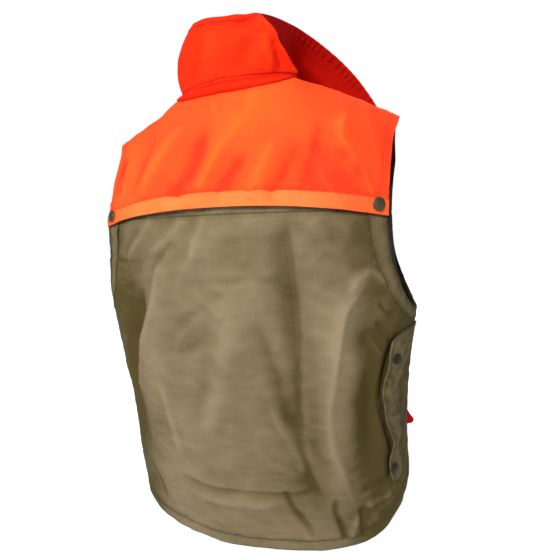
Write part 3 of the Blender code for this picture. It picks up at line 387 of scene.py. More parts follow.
def back_roll_power(x):
    side_power = np.where(x >= 0, BACK_ROLL_POWER[0], BACK_ROLL_POWER[1])
    return NAPE_ROLL_POWER + (side_power - NAPE_ROLL_POWER) * smoothstep(0.02, 0.16, np.abs(x))


def fold_depth(x, z):
    """How far the largest folds lift the back."""
    total = np.zeros(np.broadcast(x, z).shape)
    for x_top, z_top, x_bottom, z_bottom, depth, half_width in FOLDS:
        t = (z_top - z) / (z_top - z_bottom)
        fade = smoothstep(-0.12, 0.18, t) * smoothstep(-0.10, 0.25, 1 - t)
        total += depth * fade * np.exp(-((x - x_top - (x_bottom - x_top) * t) / half_width) ** 2)
    return total


def shoulder_point(x, roll):
    """Upper body: roll is 1 at the yoke's edge, 0 on the ridge, below 0 in front."""
    top, ridge_y = ridge(x)
    back = roll >= 0
    z = top - np.abs(roll) * (top - YOKE_EDGE_Z)
    power = np.where(back, back_roll_power(x), FRONT_ROLL_POWER)
    share = (1 - (1 - np.minimum(np.abs(roll), 1.0)) ** power) ** (1 / power)
    y = ridge_y + (ring_y(x, YOKE_EDGE_Z, back) - ridge_y) * share
    return np.stack(np.broadcast_arrays(x, y, z), -1)


def roll_at(x, z, back):
    """The roll of a point of the upper body from its height."""
    top = ridge(x)[0]
    roll = np.minimum((top - z) / (top - YOKE_EDGE_Z), 1.0)
    return np.where(back, roll, -roll)


def turn_of(place):
    """Place brought between -2 and 2: above 0 at the wearer's left, below 0 at the right."""
    return (place + 2) % 4 - 2


def form_point(place, z):
    """Bare form: place is 0 at centre back, 1 at the left seam, 2 at centre front."""
    place, z = np.broadcast_arrays(np.asarray(place, float), np.asarray(z, float))
    turn = turn_of(place)
    side = np.where(turn >= 0, 1.0, -1.0)
    back = np.abs(turn) <= 1
    across = np.where(back, np.abs(turn), 2 - np.abs(turn))
    x = side * ring_half(side, z) * np.sin(across * np.pi / 2)
    low = np.stack((x, ring_y(x, z, back), z), -1)
    return np.where((z > YOKE_EDGE_Z)[..., None], shoulder_point(x, roll_at(x, z, back)), low)


def normal_of(surface, a, b, step, inside):
    """The surface's normal, turned away from the inside."""
    run_a = surface(a + step, b) - surface(a - step, b)
    run_b = surface(a, b + step) - surface(a, b - step)
    normal = unit(np.cross(run_a, run_b))
    facing = np.sum(normal * (surface(a, b) - inside), -1, keepdims=True)
    return np.where(facing < 0, -normal, normal)


def body_point(place, z, out=0.0, wrinkled=True):
    """The folded and creased cloth of the body, moved out from it by a distance."""
    place, z = np.broadcast_arrays(np.asarray(place, float), np.asarray(z, float))
    base = form_point(place, z)
    inside = np.stack((np.zeros_like(z), np.full_like(z, -0.1), z), -1)
    normal = normal_of(form_point, place, z, 0.002, inside)
    turn = turn_of(place)
    lift = np.where(np.abs(turn) < 1, fold_depth(base[..., 0], z), 0.0)
    if wrinkled:
        lift = lift + body_creases(turn, z)
    return base + normal * (out + lift)[..., None]


def upper_point(x, roll, out=0.0, wrinkled=True):
    """The yoke's form over the shoulder ridge, moved out from it by a distance."""
    x, roll = np.broadcast_arrays(np.asarray(x, float), np.asarray(roll, float))
    base = shoulder_point(x, roll)
    inside = np.stack((x * 0.6, np.full_like(x, -0.1), np.full_like(x, -0.16)), -1)
    normal = normal_of(shoulder_point, x, roll, 0.004, inside)
    lift = np.where(roll > 0, fold_depth(x, base[..., 2]), 0.0)
    if wrinkled:
        lift = lift + yoke_creases(x, roll, base[..., 2])
    return base + normal * (out + lift)[..., None]


# Creases

def smooth_line(points, steps=6):
    """A line of points turned into a smooth one through the same points."""
    points = np.array(points, float)
    padded = np.vstack((2 * points[0] - points[1], points, 2 * points[-1] - points[-2]))
    out = []
    for i in range(len(points) - 1):
        a, b, c, d = padded[i:i + 4]
        for t in np.arange(steps) / steps:
            out.append(0.5 * (2 * b + (c - a) * t + (2 * a - 5 * b + 4 * c - d) * t ** 2
                              + (3 * b - a - 3 * c + d) * t ** 3))
    return np.vstack((out, points[-1:]))


def crease_field(u, v, creases, scale_u, scale_v):
    """The height of all creases at points u, v of the cloth, in metres."""
    total = np.zeros(u.shape)
    for number, (depth, soft_left, soft_right, sharpness, points) in enumerate(creases):
        line = smooth_line(points) * (scale_u, scale_v)
        reach = 3.0 * max(soft_left, soft_right)
        near = ((u > line[:, 0].min() - reach) & (u < line[:, 0].max() + reach)
                & (v > line[:, 1].min() - reach) & (v < line[:, 1].max() + reach))
        if not near.any():
            continue
        here = np.stack((u[near], v[near]), -1)
        best, signed, along = np.full(len(here), 9.0), np.zeros(len(here)), np.zeros(len(here))
        for i in range(len(line) - 1):
            run = line[i + 1] - line[i]
            t = np.clip((here - line[i]) @ run / (run @ run), 0, 1)
            off = here - line[i] - t[:, None] * run
            distance = np.hypot(off[:, 0], off[:, 1])
            turn = run[0] * off[:, 1] - run[1] * off[:, 0]
            closer = distance < best
            best = np.where(closer, distance, best)
            signed = np.where(closer, np.sign(turn) * distance, signed)
            along = np.where(closer, (i + t) / (len(line) - 1), along)
        soft = np.where(signed >= 0, soft_left, soft_right) * CREASE_SOFTNESS
        uneven = 1 + 0.22 * np.sin(9.0 * along + 2.1 * number) + 0.12 * np.sin(23.0 * along + number)
        ends = smoothstep(0.0, 0.22, along) * smoothstep(0.0, 0.22, 1 - along)
        total[near] += depth * uneven * ends * np.exp(-(best / soft) ** sharpness)
    return total


def ripple(u, v, size, seed):
    """A gentle unevenness of about one, from waves that cross at fixed angles."""
    total = np.zeros(np.broadcast(u, v).shape)
    for k in range(5):
        angle = 1.1 + 2.399 * (k + seed)
        wave = (u * math.cos(angle) + v * math.sin(angle)) * 2 * math.pi / (size * (0.7 + 0.23 * k))
        total += np.sin(wave + 1.7 * k * seed + 0.8 * np.sin(wave * 0.37 + k)) / 5
    return total


def crumple(u, v, size, seed):
    """Crumpled cloth: soft hollows between sharper crests, from 0.5 at a crest to about -0.5."""
    lattice = np.random.default_rng(seed).uniform(-1, 1, (61, 61))
    bent_u = u / size + 0.35 * np.sin(v / size * 1.7 + seed)
    bent_v = v / size + 0.35 * np.sin(u / size * 1.3 + 2 * seed)
    low_u, low_v = np.floor(bent_u).astype(int), np.floor(bent_v).astype(int)
    tu, tv = bent_u - low_u, bent_v - low_v
    tu, tv = tu * tu * (3 - 2 * tu), tv * tv * (3 - 2 * tv)
    corner = lattice[low_u % 61, low_v % 61] * (1 - tu) + lattice[(low_u + 1) % 61, low_v % 61] * tu
    other = (lattice[low_u % 61, (low_v + 1) % 61] * (1 - tu)
             + lattice[(low_u + 1) % 61, (low_v + 1) % 61] * tu)
    value = corner * (1 - tv) + other * tv
    return 0.5 - 1.6 * np.sqrt(value ** 2 + 0.003)


def body_creases(turn, z):
    """Creases and crumples of the khaki cloth."""
    u = turn * ROUND
    height = crease_field(u, z, BODY_CREASES, ROUND, 1.0)
    height = (height * CREASE_DEPTH + 0.0005 * ripple(u, z, 0.055, 1)
              + 0.0016 * crumple(u + 0.4 * z, z * 0.6, 0.060, 11)
              + 0.0009 * crumple(u - 0.3 * z, z, 0.032, 12)
              + 0.0005 * crumple(u * 0.6, z * 1.3, 0.015, 13))
    return height * settings().crease_strength


def yoke_creases(x, roll, z):
    """Creases of the yoke, calm on the shoulder ridge."""
    fall = np.abs(roll) * -FALL
    back = crease_field(x, fall, YOKE_CREASES_ROLLED, 1.0, 1.0)
    calm = smoothstep(0.0, 0.06, np.abs(roll))
    height = np.where(roll > 0, back * calm, 0.0) + 0.0006 * ripple(x, fall, 0.06, 2)
    return height * settings().crease_strength


def rolled(crease):
    """A crease given by x and height, with its line measured along the cloth from the ridge."""
    *shape, points = crease
    return (*shape, [(x, -FALL * float(roll_at(np.array(x), z, True))) for x, z in points])


YOKE_CREASES_ROLLED = [rolled(crease) for crease in YOKE_CREASES]


# Edges and seams

def armhole_fraction(z, side, back):
    """The armhole's edge as a share of the way to the side seam."""
    column = (1 if back else 3) + (0 if side > 0 else 1)
    return np.where(z > ARMHOLE_BOTTOM_Z, smooth_column(ARMHOLE, z, column), 1.0)


def armhole_x(z, side, back):
    return ring_half(side, YOKE_EDGE_Z) * np.sin(armhole_fraction(z, side, back) * np.pi / 2)


def hem_z(place):
    return smooth_column(HEM, turn_of(place), 1)


def front_edge_x(z, side_name):
    """How far a front's edge stands from the middle: open above the slider."""
    neck_x, neck_z = FRONT_NECK[side_name]
    return ZIP_HALF_GAP + (neck_x - ZIP_HALF_GAP) * smoothstep(SLIDER_Z, neck_z, z)


def place_of_x(x, z):
    """The place on the body that lies at x."""
    return np.arcsin(np.minimum(np.abs(x) / ring_half(x, z), 1.0)) / (np.pi / 2)


def yoke_edge_z(x):
    return YOKE_EDGE_Z + YOKE_EDGE_RISE * (1 - (np.abs(x) / YOKE_CORNER_X) ** 2.2)


def neck_roll(x, side_share):
    """How far behind the ridge the neck seam runs."""
    want_y = ridge(NECK_HALF_WIDTH)[1] * (1 - np.cos(side_share * np.pi / 2))
    ridge_y = ridge(x)[1]
    share = np.maximum((want_y - ridge_y) / (ring_y(x, YOKE_EDGE_Z, True) - ridge_y), 0.0)
    power = back_roll_power(x)
    return 1 - (1 - share ** power) ** (1 / power)


def back_neck(side, side_share):
    x = side * NECK_HALF_WIDTH * np.sin(side_share * np.pi / 2)
    return x, neck_roll(x, side_share)


def front_neck_roll(side_name):
    neck_x, neck_z = FRONT_NECK[side_name]
    top = ridge(np.array(SIDES[side_name] * neck_x))[0]
    return float((top - neck_z) / (top - YOKE_EDGE_Z))


def front_neck(side_name, share):
    x = NECK_HALF_WIDTH + (FRONT_NECK[side_name][0] - NECK_HALF_WIDTH) * share ** 1.3
    return SIDES[side_name] * x, -share * front_neck_roll(side_name)


def centre_front_point(x, z, out):
    """A point beside the zip, on the body or on the upper front."""
    upper = upper_point(x, roll_at(x, z, False), out, False)
    lower = body_point(np.copysign(2 - place_of_x(x, z), x), z, out, False)
    return np.where((z > YOKE_EDGE_Z)[..., None], upper, lower)


# Materials

def shade(colour, share):
    """A colour made lighter or darker by a share."""
    return tuple(min(1.0, c * share) for c in colour)


class Value:
    """A shader value that arithmetic works on: each operator adds a Math node."""

    def __init__(self, tree, socket):
        self.tree, self.socket = tree, socket

    def _math(self, operation, first, second=None, clamp=False):
        node = self.tree.nodes.new("ShaderNodeMath")
        node.operation, node.use_clamp = operation, clamp
        for slot, value in zip(node.inputs, (first, second)):
            if isinstance(value, Value):
                self.tree.links.new(value.socket, slot)
            elif value is not None:
                slot.default_value = value
        return Value(self.tree, node.outputs[0])

    def part(self, name):
        return Value(self.tree, self.socket.node.outputs[name])

    def __add__(self, other): return self._math("ADD", self, other)
    def __radd__(self, other): return self._math("ADD", other, self)
    def __sub__(self, other): return self._math("SUBTRACT", self, other)
    def __rsub__(self, other): return self._math("SUBTRACT", other, self)
    def __mul__(self, other): return self._math("MULTIPLY", self, other)
    def __truediv__(self, other): return self._math("DIVIDE", self, other)
    def __pow__(self, other): return self._math("POWER", self, other)
    def __abs__(self): return self._math("ABSOLUTE", self)
    def sine(self): return self._math("SINE", self)
    def clamped(self): return self._math("ADD", self, 0.0, clamp=True)


class Nodes:
    """A node tree with one way to add any node."""

    def __init__(self, tree):
        self.tree = tree

    def add(self, kind, settings=None, output=0, **sockets):
        node = self.tree.nodes.new(kind)
        for key, value in (settings or {}).items():
            setattr(node, key, value)
        for name, value in sockets.items():
            slot = next(s for s in node.inputs
                        if name in (s.identifier, s.name.replace(" ", "_")) and s.enabled)
            if isinstance(value, Value):
                self.tree.links.new(value.socket, slot)
            else:
                slot.default_value = value
        return Value(self.tree, next((s for s in node.outputs if s.identifier == output),
                                     node.outputs[output if isinstance(output, int) else 0]))

    def blend(self, factor, first, second):
        """A colour between two, each a plain colour or a value."""
        colours = {key: value if isinstance(value, Value) else (*value, 1.0)
                   for key, value in (("A_Color", first), ("B_Color", second))}
        return self.add("ShaderNodeMix", {"data_type": "RGBA"}, "Result_Color", Factor_Float=factor,
                        **colours)

    def stretched(self, vector, scale):
        return self.add("ShaderNodeVectorMath", {"operation": "MULTIPLY"}, Vector=vector,
                        Vector_001=scale)

    def noise(self, vector, scale, size=1.0, detail=3.0):
        return self.add("ShaderNodeTexNoise", Vector=self.stretched(vector, scale), Scale=size,
                        Detail=detail).part("Fac")


class Finish(Nodes):
    """A material while it is put together, with its shader."""

    def __init__(self, name, **constants):
        self.material = bpy.data.materials.new(name)
        self.material.use_nodes = True
        super().__init__(self.material.node_tree)
        self.shader = self.tree.nodes["Principled BSDF"]
        for socket, value in constants.items():
            self.shader.inputs[socket.replace("_", " ")].default_value = value

    def feed(self, socket, value):
        self.tree.links.new(value.socket, self.shader.inputs[socket])


def cloth_finish(name, colour, deep, seam_colour, band=None, roughness=0.85, glow=None, yarn=None,
                 slub=0.22, sheen=0.01, middle=0.60, gain=0.42):
    """Woven cloth: yarns, uneven slubs, painted highlight on crests, painted shade in hollows, and sewn
    lines with puckers in painted shade.
    """
    made = Finish(name, Sheen_Weight=sheen, Sheen_Roughness=0.5, Specular_IOR_Level=0.06)
    cloth = made.add("ShaderNodeUVMap", {"uv_map": "cloth"})
    axes = made.add("ShaderNodeSeparateXYZ", Vector=cloth)
    pitch = yarn or settings().yarn_pitch
    warp, weft = axes.part("X") * (math.tau / pitch), axes.part("Y") * (math.tau / pitch)
    weave = warp.sine() * weft.sine()
    long_weft = made.noise(cloth, (26.0, 620.0, 1.0))
    long_warp = made.noise(cloth, (620.0, 26.0, 1.0))
    patches = made.noise(cloth, (17.0, 17.0, 1.0), detail=4.0)
    fine = made.noise(cloth, (260.0, 260.0, 1.0), detail=2.0)
    fold = made.add("ShaderNodeAttribute", {"attribute_name": "fold"}).part("Fac")
    seam = abs(made.add("ShaderNodeAttribute", {"attribute_name": "seam"}).part("Fac"))
    edge = made.add("ShaderNodeAttribute", {"attribute_name": "edge"}).part("Fac")
    line = (1.0 - seam / 0.0011).clamped()
    beside = (1.0 - seam / 0.008).clamped()
    pucker = made.noise(cloth, (150.0, 150.0, 1.0), detail=1.0)
    # the fold attribute brings painted highlight and painted shade into the tone; beside the sewn lines
    # the puckers get a painted shade
    tone = (middle + fold * gain + (patches - 0.5) * 0.55 + (long_weft - 0.5) * slub
            + (long_warp - 0.5) * (slub * 0.6) + (fine - 0.5) * 0.12
            - beside * (1.0 - pucker) * 0.40).clamped()
    base = made.blend(tone, deep, colour)
    # the edge attribute blends in a second colour: a lighter band along the yoke's folded edge, and on
    # the collar a painted shade over the wing behind its fold
    if band:
        base = made.blend(edge, base, band)
    base = made.blend(line * 0.75, base, seam_colour)
    made.feed("Base Color", base)
    # a painted glow standing in for the fluorescent cloth: a constant emission, dimmed where the tone
    # is in painted shade
    if glow:
        made.shader.inputs["Emission Strength"].default_value = 1.0
        made.feed("Emission Color", made.blend(tone, shade(glow, 0.30), glow))
    made.feed("Roughness", roughness + (patches - 0.5) * 0.14 + (1.0 - tone) * 0.05)
    relief = (weave * 0.35 + long_weft * 0.8 + long_warp * 0.5 + fine * 0.4
              - line * 1.6 - beside * pucker * 1.5)
    made.feed("Normal", made.add("ShaderNodeBump", Strength=0.55, Distance=0.0006, Height=relief))
    return made.material


def lining_finish():
    """Smooth dark lining, quilted in a slanting lattice."""
    colour = settings().lining
    made = Finish("lining", Roughness=0.7, Sheen_Weight=0.03, Specular_IOR_Level=0.13)
    cloth = made.add("ShaderNodeUVMap", {"uv_map": "cloth"})
    axes = made.add("ShaderNodeSeparateXYZ", Vector=cloth)
    per_row = math.pi / QUILT_PITCH
    one = ((axes.part("X") + axes.part("Y")) * per_row).sine()
    two = ((axes.part("X") - axes.part("Y")) * per_row).sine()
    puff = abs(one) ** 0.5 * abs(two) ** 0.5
    fine = made.noise(cloth, (300.0, 300.0, 1.0))
    # lighter on the puffs and darker along the quilted lines: a painted highlight and painted shade
    made.feed("Base Color", made.blend((puff * 0.6 + fine * 0.3).clamped(), colour, shade(colour, 2.2)))
    made.feed("Normal", made.add("ShaderNodeBump", Strength=0.6, Distance=0.003,
                                 Height=puff + fine * 0.05))
    return made.material


def brass_finish(name, colour, roughness=0.42):
    """Aged brass: dark lacquer worn brighter where it stands out, with fine scratches."""
    made = Finish(name, Metallic=0.75, Roughness=roughness)
    place = made.add("ShaderNodeTexCoord", output="Object")
    spots = made.noise(place, (900.0, 900.0, 900.0), detail=4.0)
    scratch = made.noise(place, (260.0, 3000.0, 700.0), detail=2.0)
    crest = made.add("ShaderNodeNewGeometry", output="Pointiness")
    worn = ((crest - 0.5) * 6.0 + (spots - 0.5) * 0.9 + 0.3).clamped()
    made.feed("Base Color", made.blend(worn, shade(colour, 0.75), shade(colour, 2.0)))
    made.feed("Roughness", roughness + (spots - 0.5) * 0.3)
    made.feed("Normal", made.add("ShaderNodeBump", Strength=0.25, Distance=0.0002,
                                 Height=spots * 0.6 + scratch * 0.4))
    return made.material


def plain_finish(name, colour, roughness, grain):
    """A moulded or spun surface with a fine even grain."""
    made = Finish(name, Roughness=roughness)
    place = made.add("ShaderNodeTexCoord", output="Object")
    spots = made.noise(place, (grain, grain, grain), detail=3.0)
    made.feed("Base Color", made.blend(spots, shade(colour, 0.7), shade(colour, 1.3)))
    made.feed("Normal", made.add("ShaderNodeBump", Strength=0.3, Distance=0.0002, Height=spots))
    return made.material


def finish_for(name):
    """The material of that name, made once."""
    if name in bpy.data.materials and bpy.data.materials[name].get("vest_made"):
        return bpy.data.materials[name]
    s = settings()
    makers = {
        "khaki_cloth": lambda: cloth_finish("khaki_cloth", s.khaki, s.khaki_deep,
                                            shade(s.khaki_deep, 0.45)),
        "orange_cloth": lambda: cloth_finish(
            "orange_cloth", s.orange, s.orange_deep, shade(s.orange_deep, 0.8),
            band=(1.0, 0.245, 0.060), roughness=0.75, glow=(0.30, 0.004, 0.0), yarn=0.0009, slub=0.25,
            sheen=0.0, middle=0.50, gain=0.62),
        # the collar's band colour is a painted shade for the wing behind its fold
        "collar_cloth": lambda: cloth_finish(
            "collar_cloth", s.collar, s.collar_deep, shade(s.collar_deep, 0.6),
            band=(0.17, 0.0, 0.0), roughness=0.8, glow=(0.20, 0.0, 0.0), yarn=0.0009, slub=0.15,
            sheen=0.0, middle=0.66, gain=0.45),
        "tape_cloth": lambda: cloth_finish("tape_cloth", (0.03, 0.03, 0.028), (0.015, 0.015, 0.014),
                                           (0.01, 0.01, 0.01), yarn=0.0008),
        "tab_cloth": lambda: cloth_finish("tab_cloth", (0.62, 0.010, 0.006), (0.30, 0.002, 0.001),
                                          (0.2, 0.0, 0.0), yarn=0.0012, glow=(0.05, 0.0, 0.0)),
        "lining": lining_finish,
        "aged_brass": lambda: brass_finish("aged_brass", s.brass),
        # a darker, rougher copy of the aged brass for the flap's snaps: a painted shade
        "dark_brass": lambda: brass_finish("dark_brass", shade(s.brass, 0.22), 0.62),
        "zip_plastic": lambda: plain_finish("zip_plastic", (0.022, 0.021, 0.019), 0.45, 700.0),
        "khaki_thread": lambda: plain_finish("khaki_thread", (0.080, 0.062, 0.030), 0.8, 1500.0),
        "orange_thread": lambda: plain_finish("orange_thread", (0.95, 0.06, 0.012), 0.7, 1500.0),
        "collar_thread": lambda: plain_finish("collar_thread", (0.20, 0.003, 0.001), 0.8, 1500.0),
    }
    material = makers[name]()
    material["vest_made"] = True
    return material


# Making sheets

def outward_at(points):
    """A rough outward direction at points of the garment, to turn faces and normals by."""
    return np.stack((points[..., 0], points[..., 1] + 0.10,
                     np.maximum(points[..., 2] + 0.20, 0.0) * 0.8), -1)


class Sheet:
    """A grid of cloth points, with the distance of each point along the cloth from its four edges."""

    def __init__(self, points):
        self.points = points
        across = np.linalg.norm(np.diff(points, axis=1), axis=-1)
        up = np.linalg.norm(np.diff(points, axis=0), axis=-1)
        rows, columns = points.shape[:2]
        self.start = np.concatenate((np.zeros((rows, 1)), np.cumsum(across, 1)), 1)
        self.end = self.start[:, -1:] - self.start
        self.low = np.concatenate((np.zeros((1, columns)), np.cumsum(up, 0)), 0)
        self.high = self.low[-1:] - self.low
        self.seam = np.full((rows, columns), NOT_SEWN)
        # edge and fold set the cloth's colour: fold carries painted highlight and painted shade, edge a
        # second colour (on the collar, a painted shade)
        self.edge = np.zeros((rows, columns))
        self.fold = np.zeros((rows, columns))

    def sew(self, *distances):
        """Keep the signed distance to the nearest of these sewn lines."""
        for distance in distances:
            self.seam = np.where(np.abs(distance) < np.abs(self.seam), distance, self.seam)


def lay_sheet(node, sheet, wall, outer, inner="lining", rim=0):
    """Make the cloth of a sheet: its outer face on the points, a wall behind it and a lining.
    It takes the node's place. The cut edge shows the outer cloth with rim 0, the inner with rim 1."""
    name = node + "_cloth"
    points = sheet.points
    if not np.isfinite(points).all():
        raise RuntimeError(name + ": some points of the sheet have no place")
    rows, columns = points.shape[:2]
    index = np.arange(rows * columns).reshape(rows, columns)
    faces = np.stack((index[:-1, :-1], index[:-1, 1:], index[1:, 1:], index[1:, :-1]), -1)
    faces = faces.reshape(-1, 4)
    flat = points.reshape(-1, 3)
    corners = flat[faces]
    normals = np.cross(corners[:, 2] - corners[:, 0], corners[:, 3] - corners[:, 1])
    if np.sum(normals * outward_at(corners.mean(1))) < 0:
        faces = faces[:, ::-1]
    mesh = bpy.data.meshes.new(name)
    mesh.from_pydata(flat.tolist(), [], faces.tolist())
    middle = sheet.start[:, columns // 2:columns // 2 + 1]
    along = np.stack((sheet.start - middle, sheet.low), -1).reshape(-1, 2)
    layer = mesh.uv_layers.new(name="cloth")
    loops = np.zeros(len(mesh.loops), int)
    mesh.loops.foreach_get("vertex_index", loops)
    layer.data.foreach_set("uv", along[loops].astype(np.float32).ravel())
    for key, values in (("seam", sheet.seam), ("edge", sheet.edge), ("fold", sheet.fold)):
        attribute = mesh.attributes.new(key, "FLOAT", "POINT")
        attribute.data.foreach_set("value", values.astype(np.float32).ravel())
    mesh.shade_smooth()
    piece = bpy.data.objects.new(name, mesh)
    bpy.context.scene.collection.objects.link(piece)
    for material in (outer, inner):
        mesh.materials.append(finish_for(material))
    thicken = piece.modifiers.new("wall", "SOLIDIFY")
    thicken.thickness, thicken.offset, thicken.use_even_offset = wall, -1.0, False
    thicken.material_offset, thicken.material_offset_rim = 1, rim
    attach(piece, "vest")
    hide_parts(node)


def grid(columns, rows):
    """Two arrays, rows by columns, of the values of each."""
    return np.meshgrid(np.asarray(columns, float), np.asarray(rows, float))


def denser(low, high, count, strength):
    """Even steps that crowd towards both ends."""
    t = np.linspace(0, 1, count)
    return low + (high - low) * (t - strength * np.sin(2 * np.pi * t) / (2 * np.pi))


def softened(field, reach):
    """A field on the sheet's grid, averaged over a few points each way."""
    for axis in (0, 1):
        wide = np.pad(field, [(reach, reach) if k == axis else (0, 0) for k in (0, 1)], mode="edge")
        field = sum(np.take(wide, range(k, k + field.shape[axis]), axis) for k in range(2 * reach + 1))
        field = field / (2 * reach + 1)
    return field


def painted_light_patches(u, v, patches):
    """Painted highlight and painted shade on the cloth, in areas each soft and round."""
    return sum(amount * np.exp(-((u - at_u) ** 2 + (v - at_v) ** 2) / radius ** 2)
               for at_u, at_v, radius, amount in patches)


def painted_body_shading(place, z):
    """Painted light and shade of the khaki: the listed patches, and below 0 a painted shade where the
    cloth turns to the side seams.
    """
    turn = turn_of(place)
    around = np.abs(turn)
    begin = np.where(turn > 0, 0.33, 0.27)
    paler = 1 - 0.75 * smoothstep(1.10, 1.55, around)
    return painted_light_patches(turn * ROUND, z, BODY_PAINTED_LIGHT) - 1.30 * smoothstep(begin, begin + 0.30, around) * paler


def fold_tone(height, strength, rubbed):
    """Painted highlight on crests and painted shade in hollows, from their height in metres; sharp
    crests paler still.
    """
    # thin lines lighter on sharp crests and darker in sharp hollows: partly rubbing of the cloth,
    # partly painted highlight and shade
    worn = np.clip((height - softened(height, 3)) / 0.0009, -1, 1) * rubbed
    return np.clip(height / 0.006, -1, 1) * strength + worn


# The pieces

def back_panel_sheet():
    """The khaki back: rows from the hem to the armholes, past them, and on under the yoke."""
    lower = np.linspace(0.0, 1.0, 104)
    levels = np.linspace(0, 1, 42)[1:] ** 1.5
    tops = np.linspace(0, 1, 10)[1:]
    across = np.linspace(-1, 1, 261)[None, :]
    z_low = hem_z(across) + (ARMHOLE_BOTTOM_Z - hem_z(across)) * lower[:, None]
    z_mid = ARMHOLE_BOTTOM_Z + (UPPER_LEVEL_Z - ARMHOLE_BOTTOM_Z) * levels[:, None] + 0 * across
    x_top = across * YOKE_CORNER_X
    z_top = UPPER_LEVEL_Z + (yoke_edge_z(x_top) + UNDERLAP - UPPER_LEVEL_Z) * tops[:, None]
    z = np.vstack((z_low, z_mid, z_top))
    across = np.broadcast_to(across, z.shape)
    left, right = armhole_fraction(z, 1, True), armhole_fraction(z, -1, True)
    share = np.where(across >= 0, left, right)
    place = np.where(z > ARMHOLE_BOTTOM_Z, across * (1 - (1 - share) * np.abs(across) ** 3), across)
    along = place * ROUND
    height = body_creases(place, z)
    hidden = smoothstep(YOKE_EDGE_Z - 0.004, YOKE_EDGE_Z + 0.012, z)
    hollow = crease_field(along, z, FLAP_HOLLOW, ROUND, 1.0)
    tuck = UNDERLAP_TUCK * smoothstep(UPPER_LEVEL_Z - UNDERLAP, YOKE_EDGE_Z, z) - hollow
    sheet = Sheet(body_point(place, z, -tuck - hidden * np.maximum(height, 0)))
    normal = unit(sheet.points - body_point(place, z, -tuck - 0.01 - hidden * np.maximum(height, 0)))
    hem = sheet.low
    raised = HEM_RELIEF * (1 - smoothstep(HEM_BAND - 0.0010, HEM_BAND + 0.0008, hem))
    puckers = 0.0005 * np.sin(along * math.tau / 0.012 + 1.5 * np.sin(along * 40)) * np.exp(
        -((hem - HEM_BAND) / 0.010) ** 2)
    sheet.points = sheet.points + normal * (raised + puckers)[..., None]
    # painted highlight on crests and painted shade in hollows, deepest in the hollow behind the flap,
    # and the painted side shade
    sheet.fold = fold_tone(height + hollow + 0.5 * fold_depth(sheet.points[..., 0], z), 0.8, 0.20)
    sheet.fold = sheet.fold + painted_body_shading(place, z)
    side_seam = np.where(z > ARMHOLE_BOTTOM_Z, NOT_SEWN, PLAIN_SEAM)
    # a painted shadow: a dark line drawn through the seam attribute on the panel just behind the flap's
    # free edge, where no seam runs
    painted_flap_shadow = (np.abs(place) - smooth_column(FLAP, z, 1)) * ROUND + 0.004
    flap_shadow_mask = (place < 0) & (z < FLAP[1, 0]) & (z > FLAP[-1, 0])
    sheet.sew(hem - HEM_BAND, sheet.high - HIDDEN_SEAM, sheet.start - side_seam, sheet.end - side_seam,
              np.where(flap_shadow_mask, painted_flap_shadow * 0.28, NOT_SEWN))
    return sheet


class VEST_OT_back_panel(bpy.types.Operator):
    """Make the khaki back with its folds, creases and hem."""
    bl_idname = "vest.back_panel"
    bl_label = "Back panel"

    def execute(self, context):
        lay_sheet("back_panel", back_panel_sheet(), PANEL_CLOTH, "khaki_cloth")
        return {"FINISHED"}


def yoke_out(x, share):
    """How far the yoke's outer face stands off: its free edge is loose between the snaps."""
    loose = 1 - 0.65 * np.minimum(np.abs(x) / YOKE_CORNER_X, 1.0) ** 4
    return YOKE_WALL + LAYER_GAP + YOKE_EDGE_LIFT * loose * (1 - smoothstep(0.0, 0.40, share))


def back_yoke_point(across, share):
    """x and roll of the back yoke: share is 0 at its free edge and 1 at the neck or the seam."""
    side = np.where(across >= 0, 1.0, -1.0)
    c = np.abs(across)
    neck, step = 0.42, 0.035    # shares of the columns that end at the neck and at its corner
    x_neck, roll_neck = back_neck(side, np.minimum(c / (neck - step), 1.0))
    t = np.clip((c - neck) / (1 - neck), 0, 1)
    x_shoulder = side * (NECK_HALF_WIDTH + (SHOULDER_TIP_X - NECK_HALF_WIDTH) * t)
    roll_shoulder = SHOULDER_SEAM_FORWARD * smoothstep(-0.02, 0.12, t)
    x_top = np.where(c < neck - step, x_neck, np.where(c < neck, side * NECK_HALF_WIDTH, x_shoulder))
    roll_top = np.where(c < neck - step, roll_neck, np.where(c < neck, 0.0, roll_shoulder))
    x_low = side * YOKE_CORNER_X * c
    top_low = ridge(x_low)[0]
    roll_low = (top_low - yoke_edge_z(x_low)) / (top_low - YOKE_EDGE_Z)
    x = x_low + (x_top - x_low) * share
    roll = roll_low + (roll_top - roll_low) * share
    z = ridge(x)[0] - np.abs(roll) * (ridge(x)[0] - YOKE_EDGE_Z)
    straight = YOKE_CORNER_X + (SHOULDER_TIP_X - YOKE_CORNER_X) * share
    edge_x = np.where(side > 0, armhole_x(z, 1, True), armhole_x(z, -1, True))
    return x + side * (edge_x - straight) * c ** 4, roll


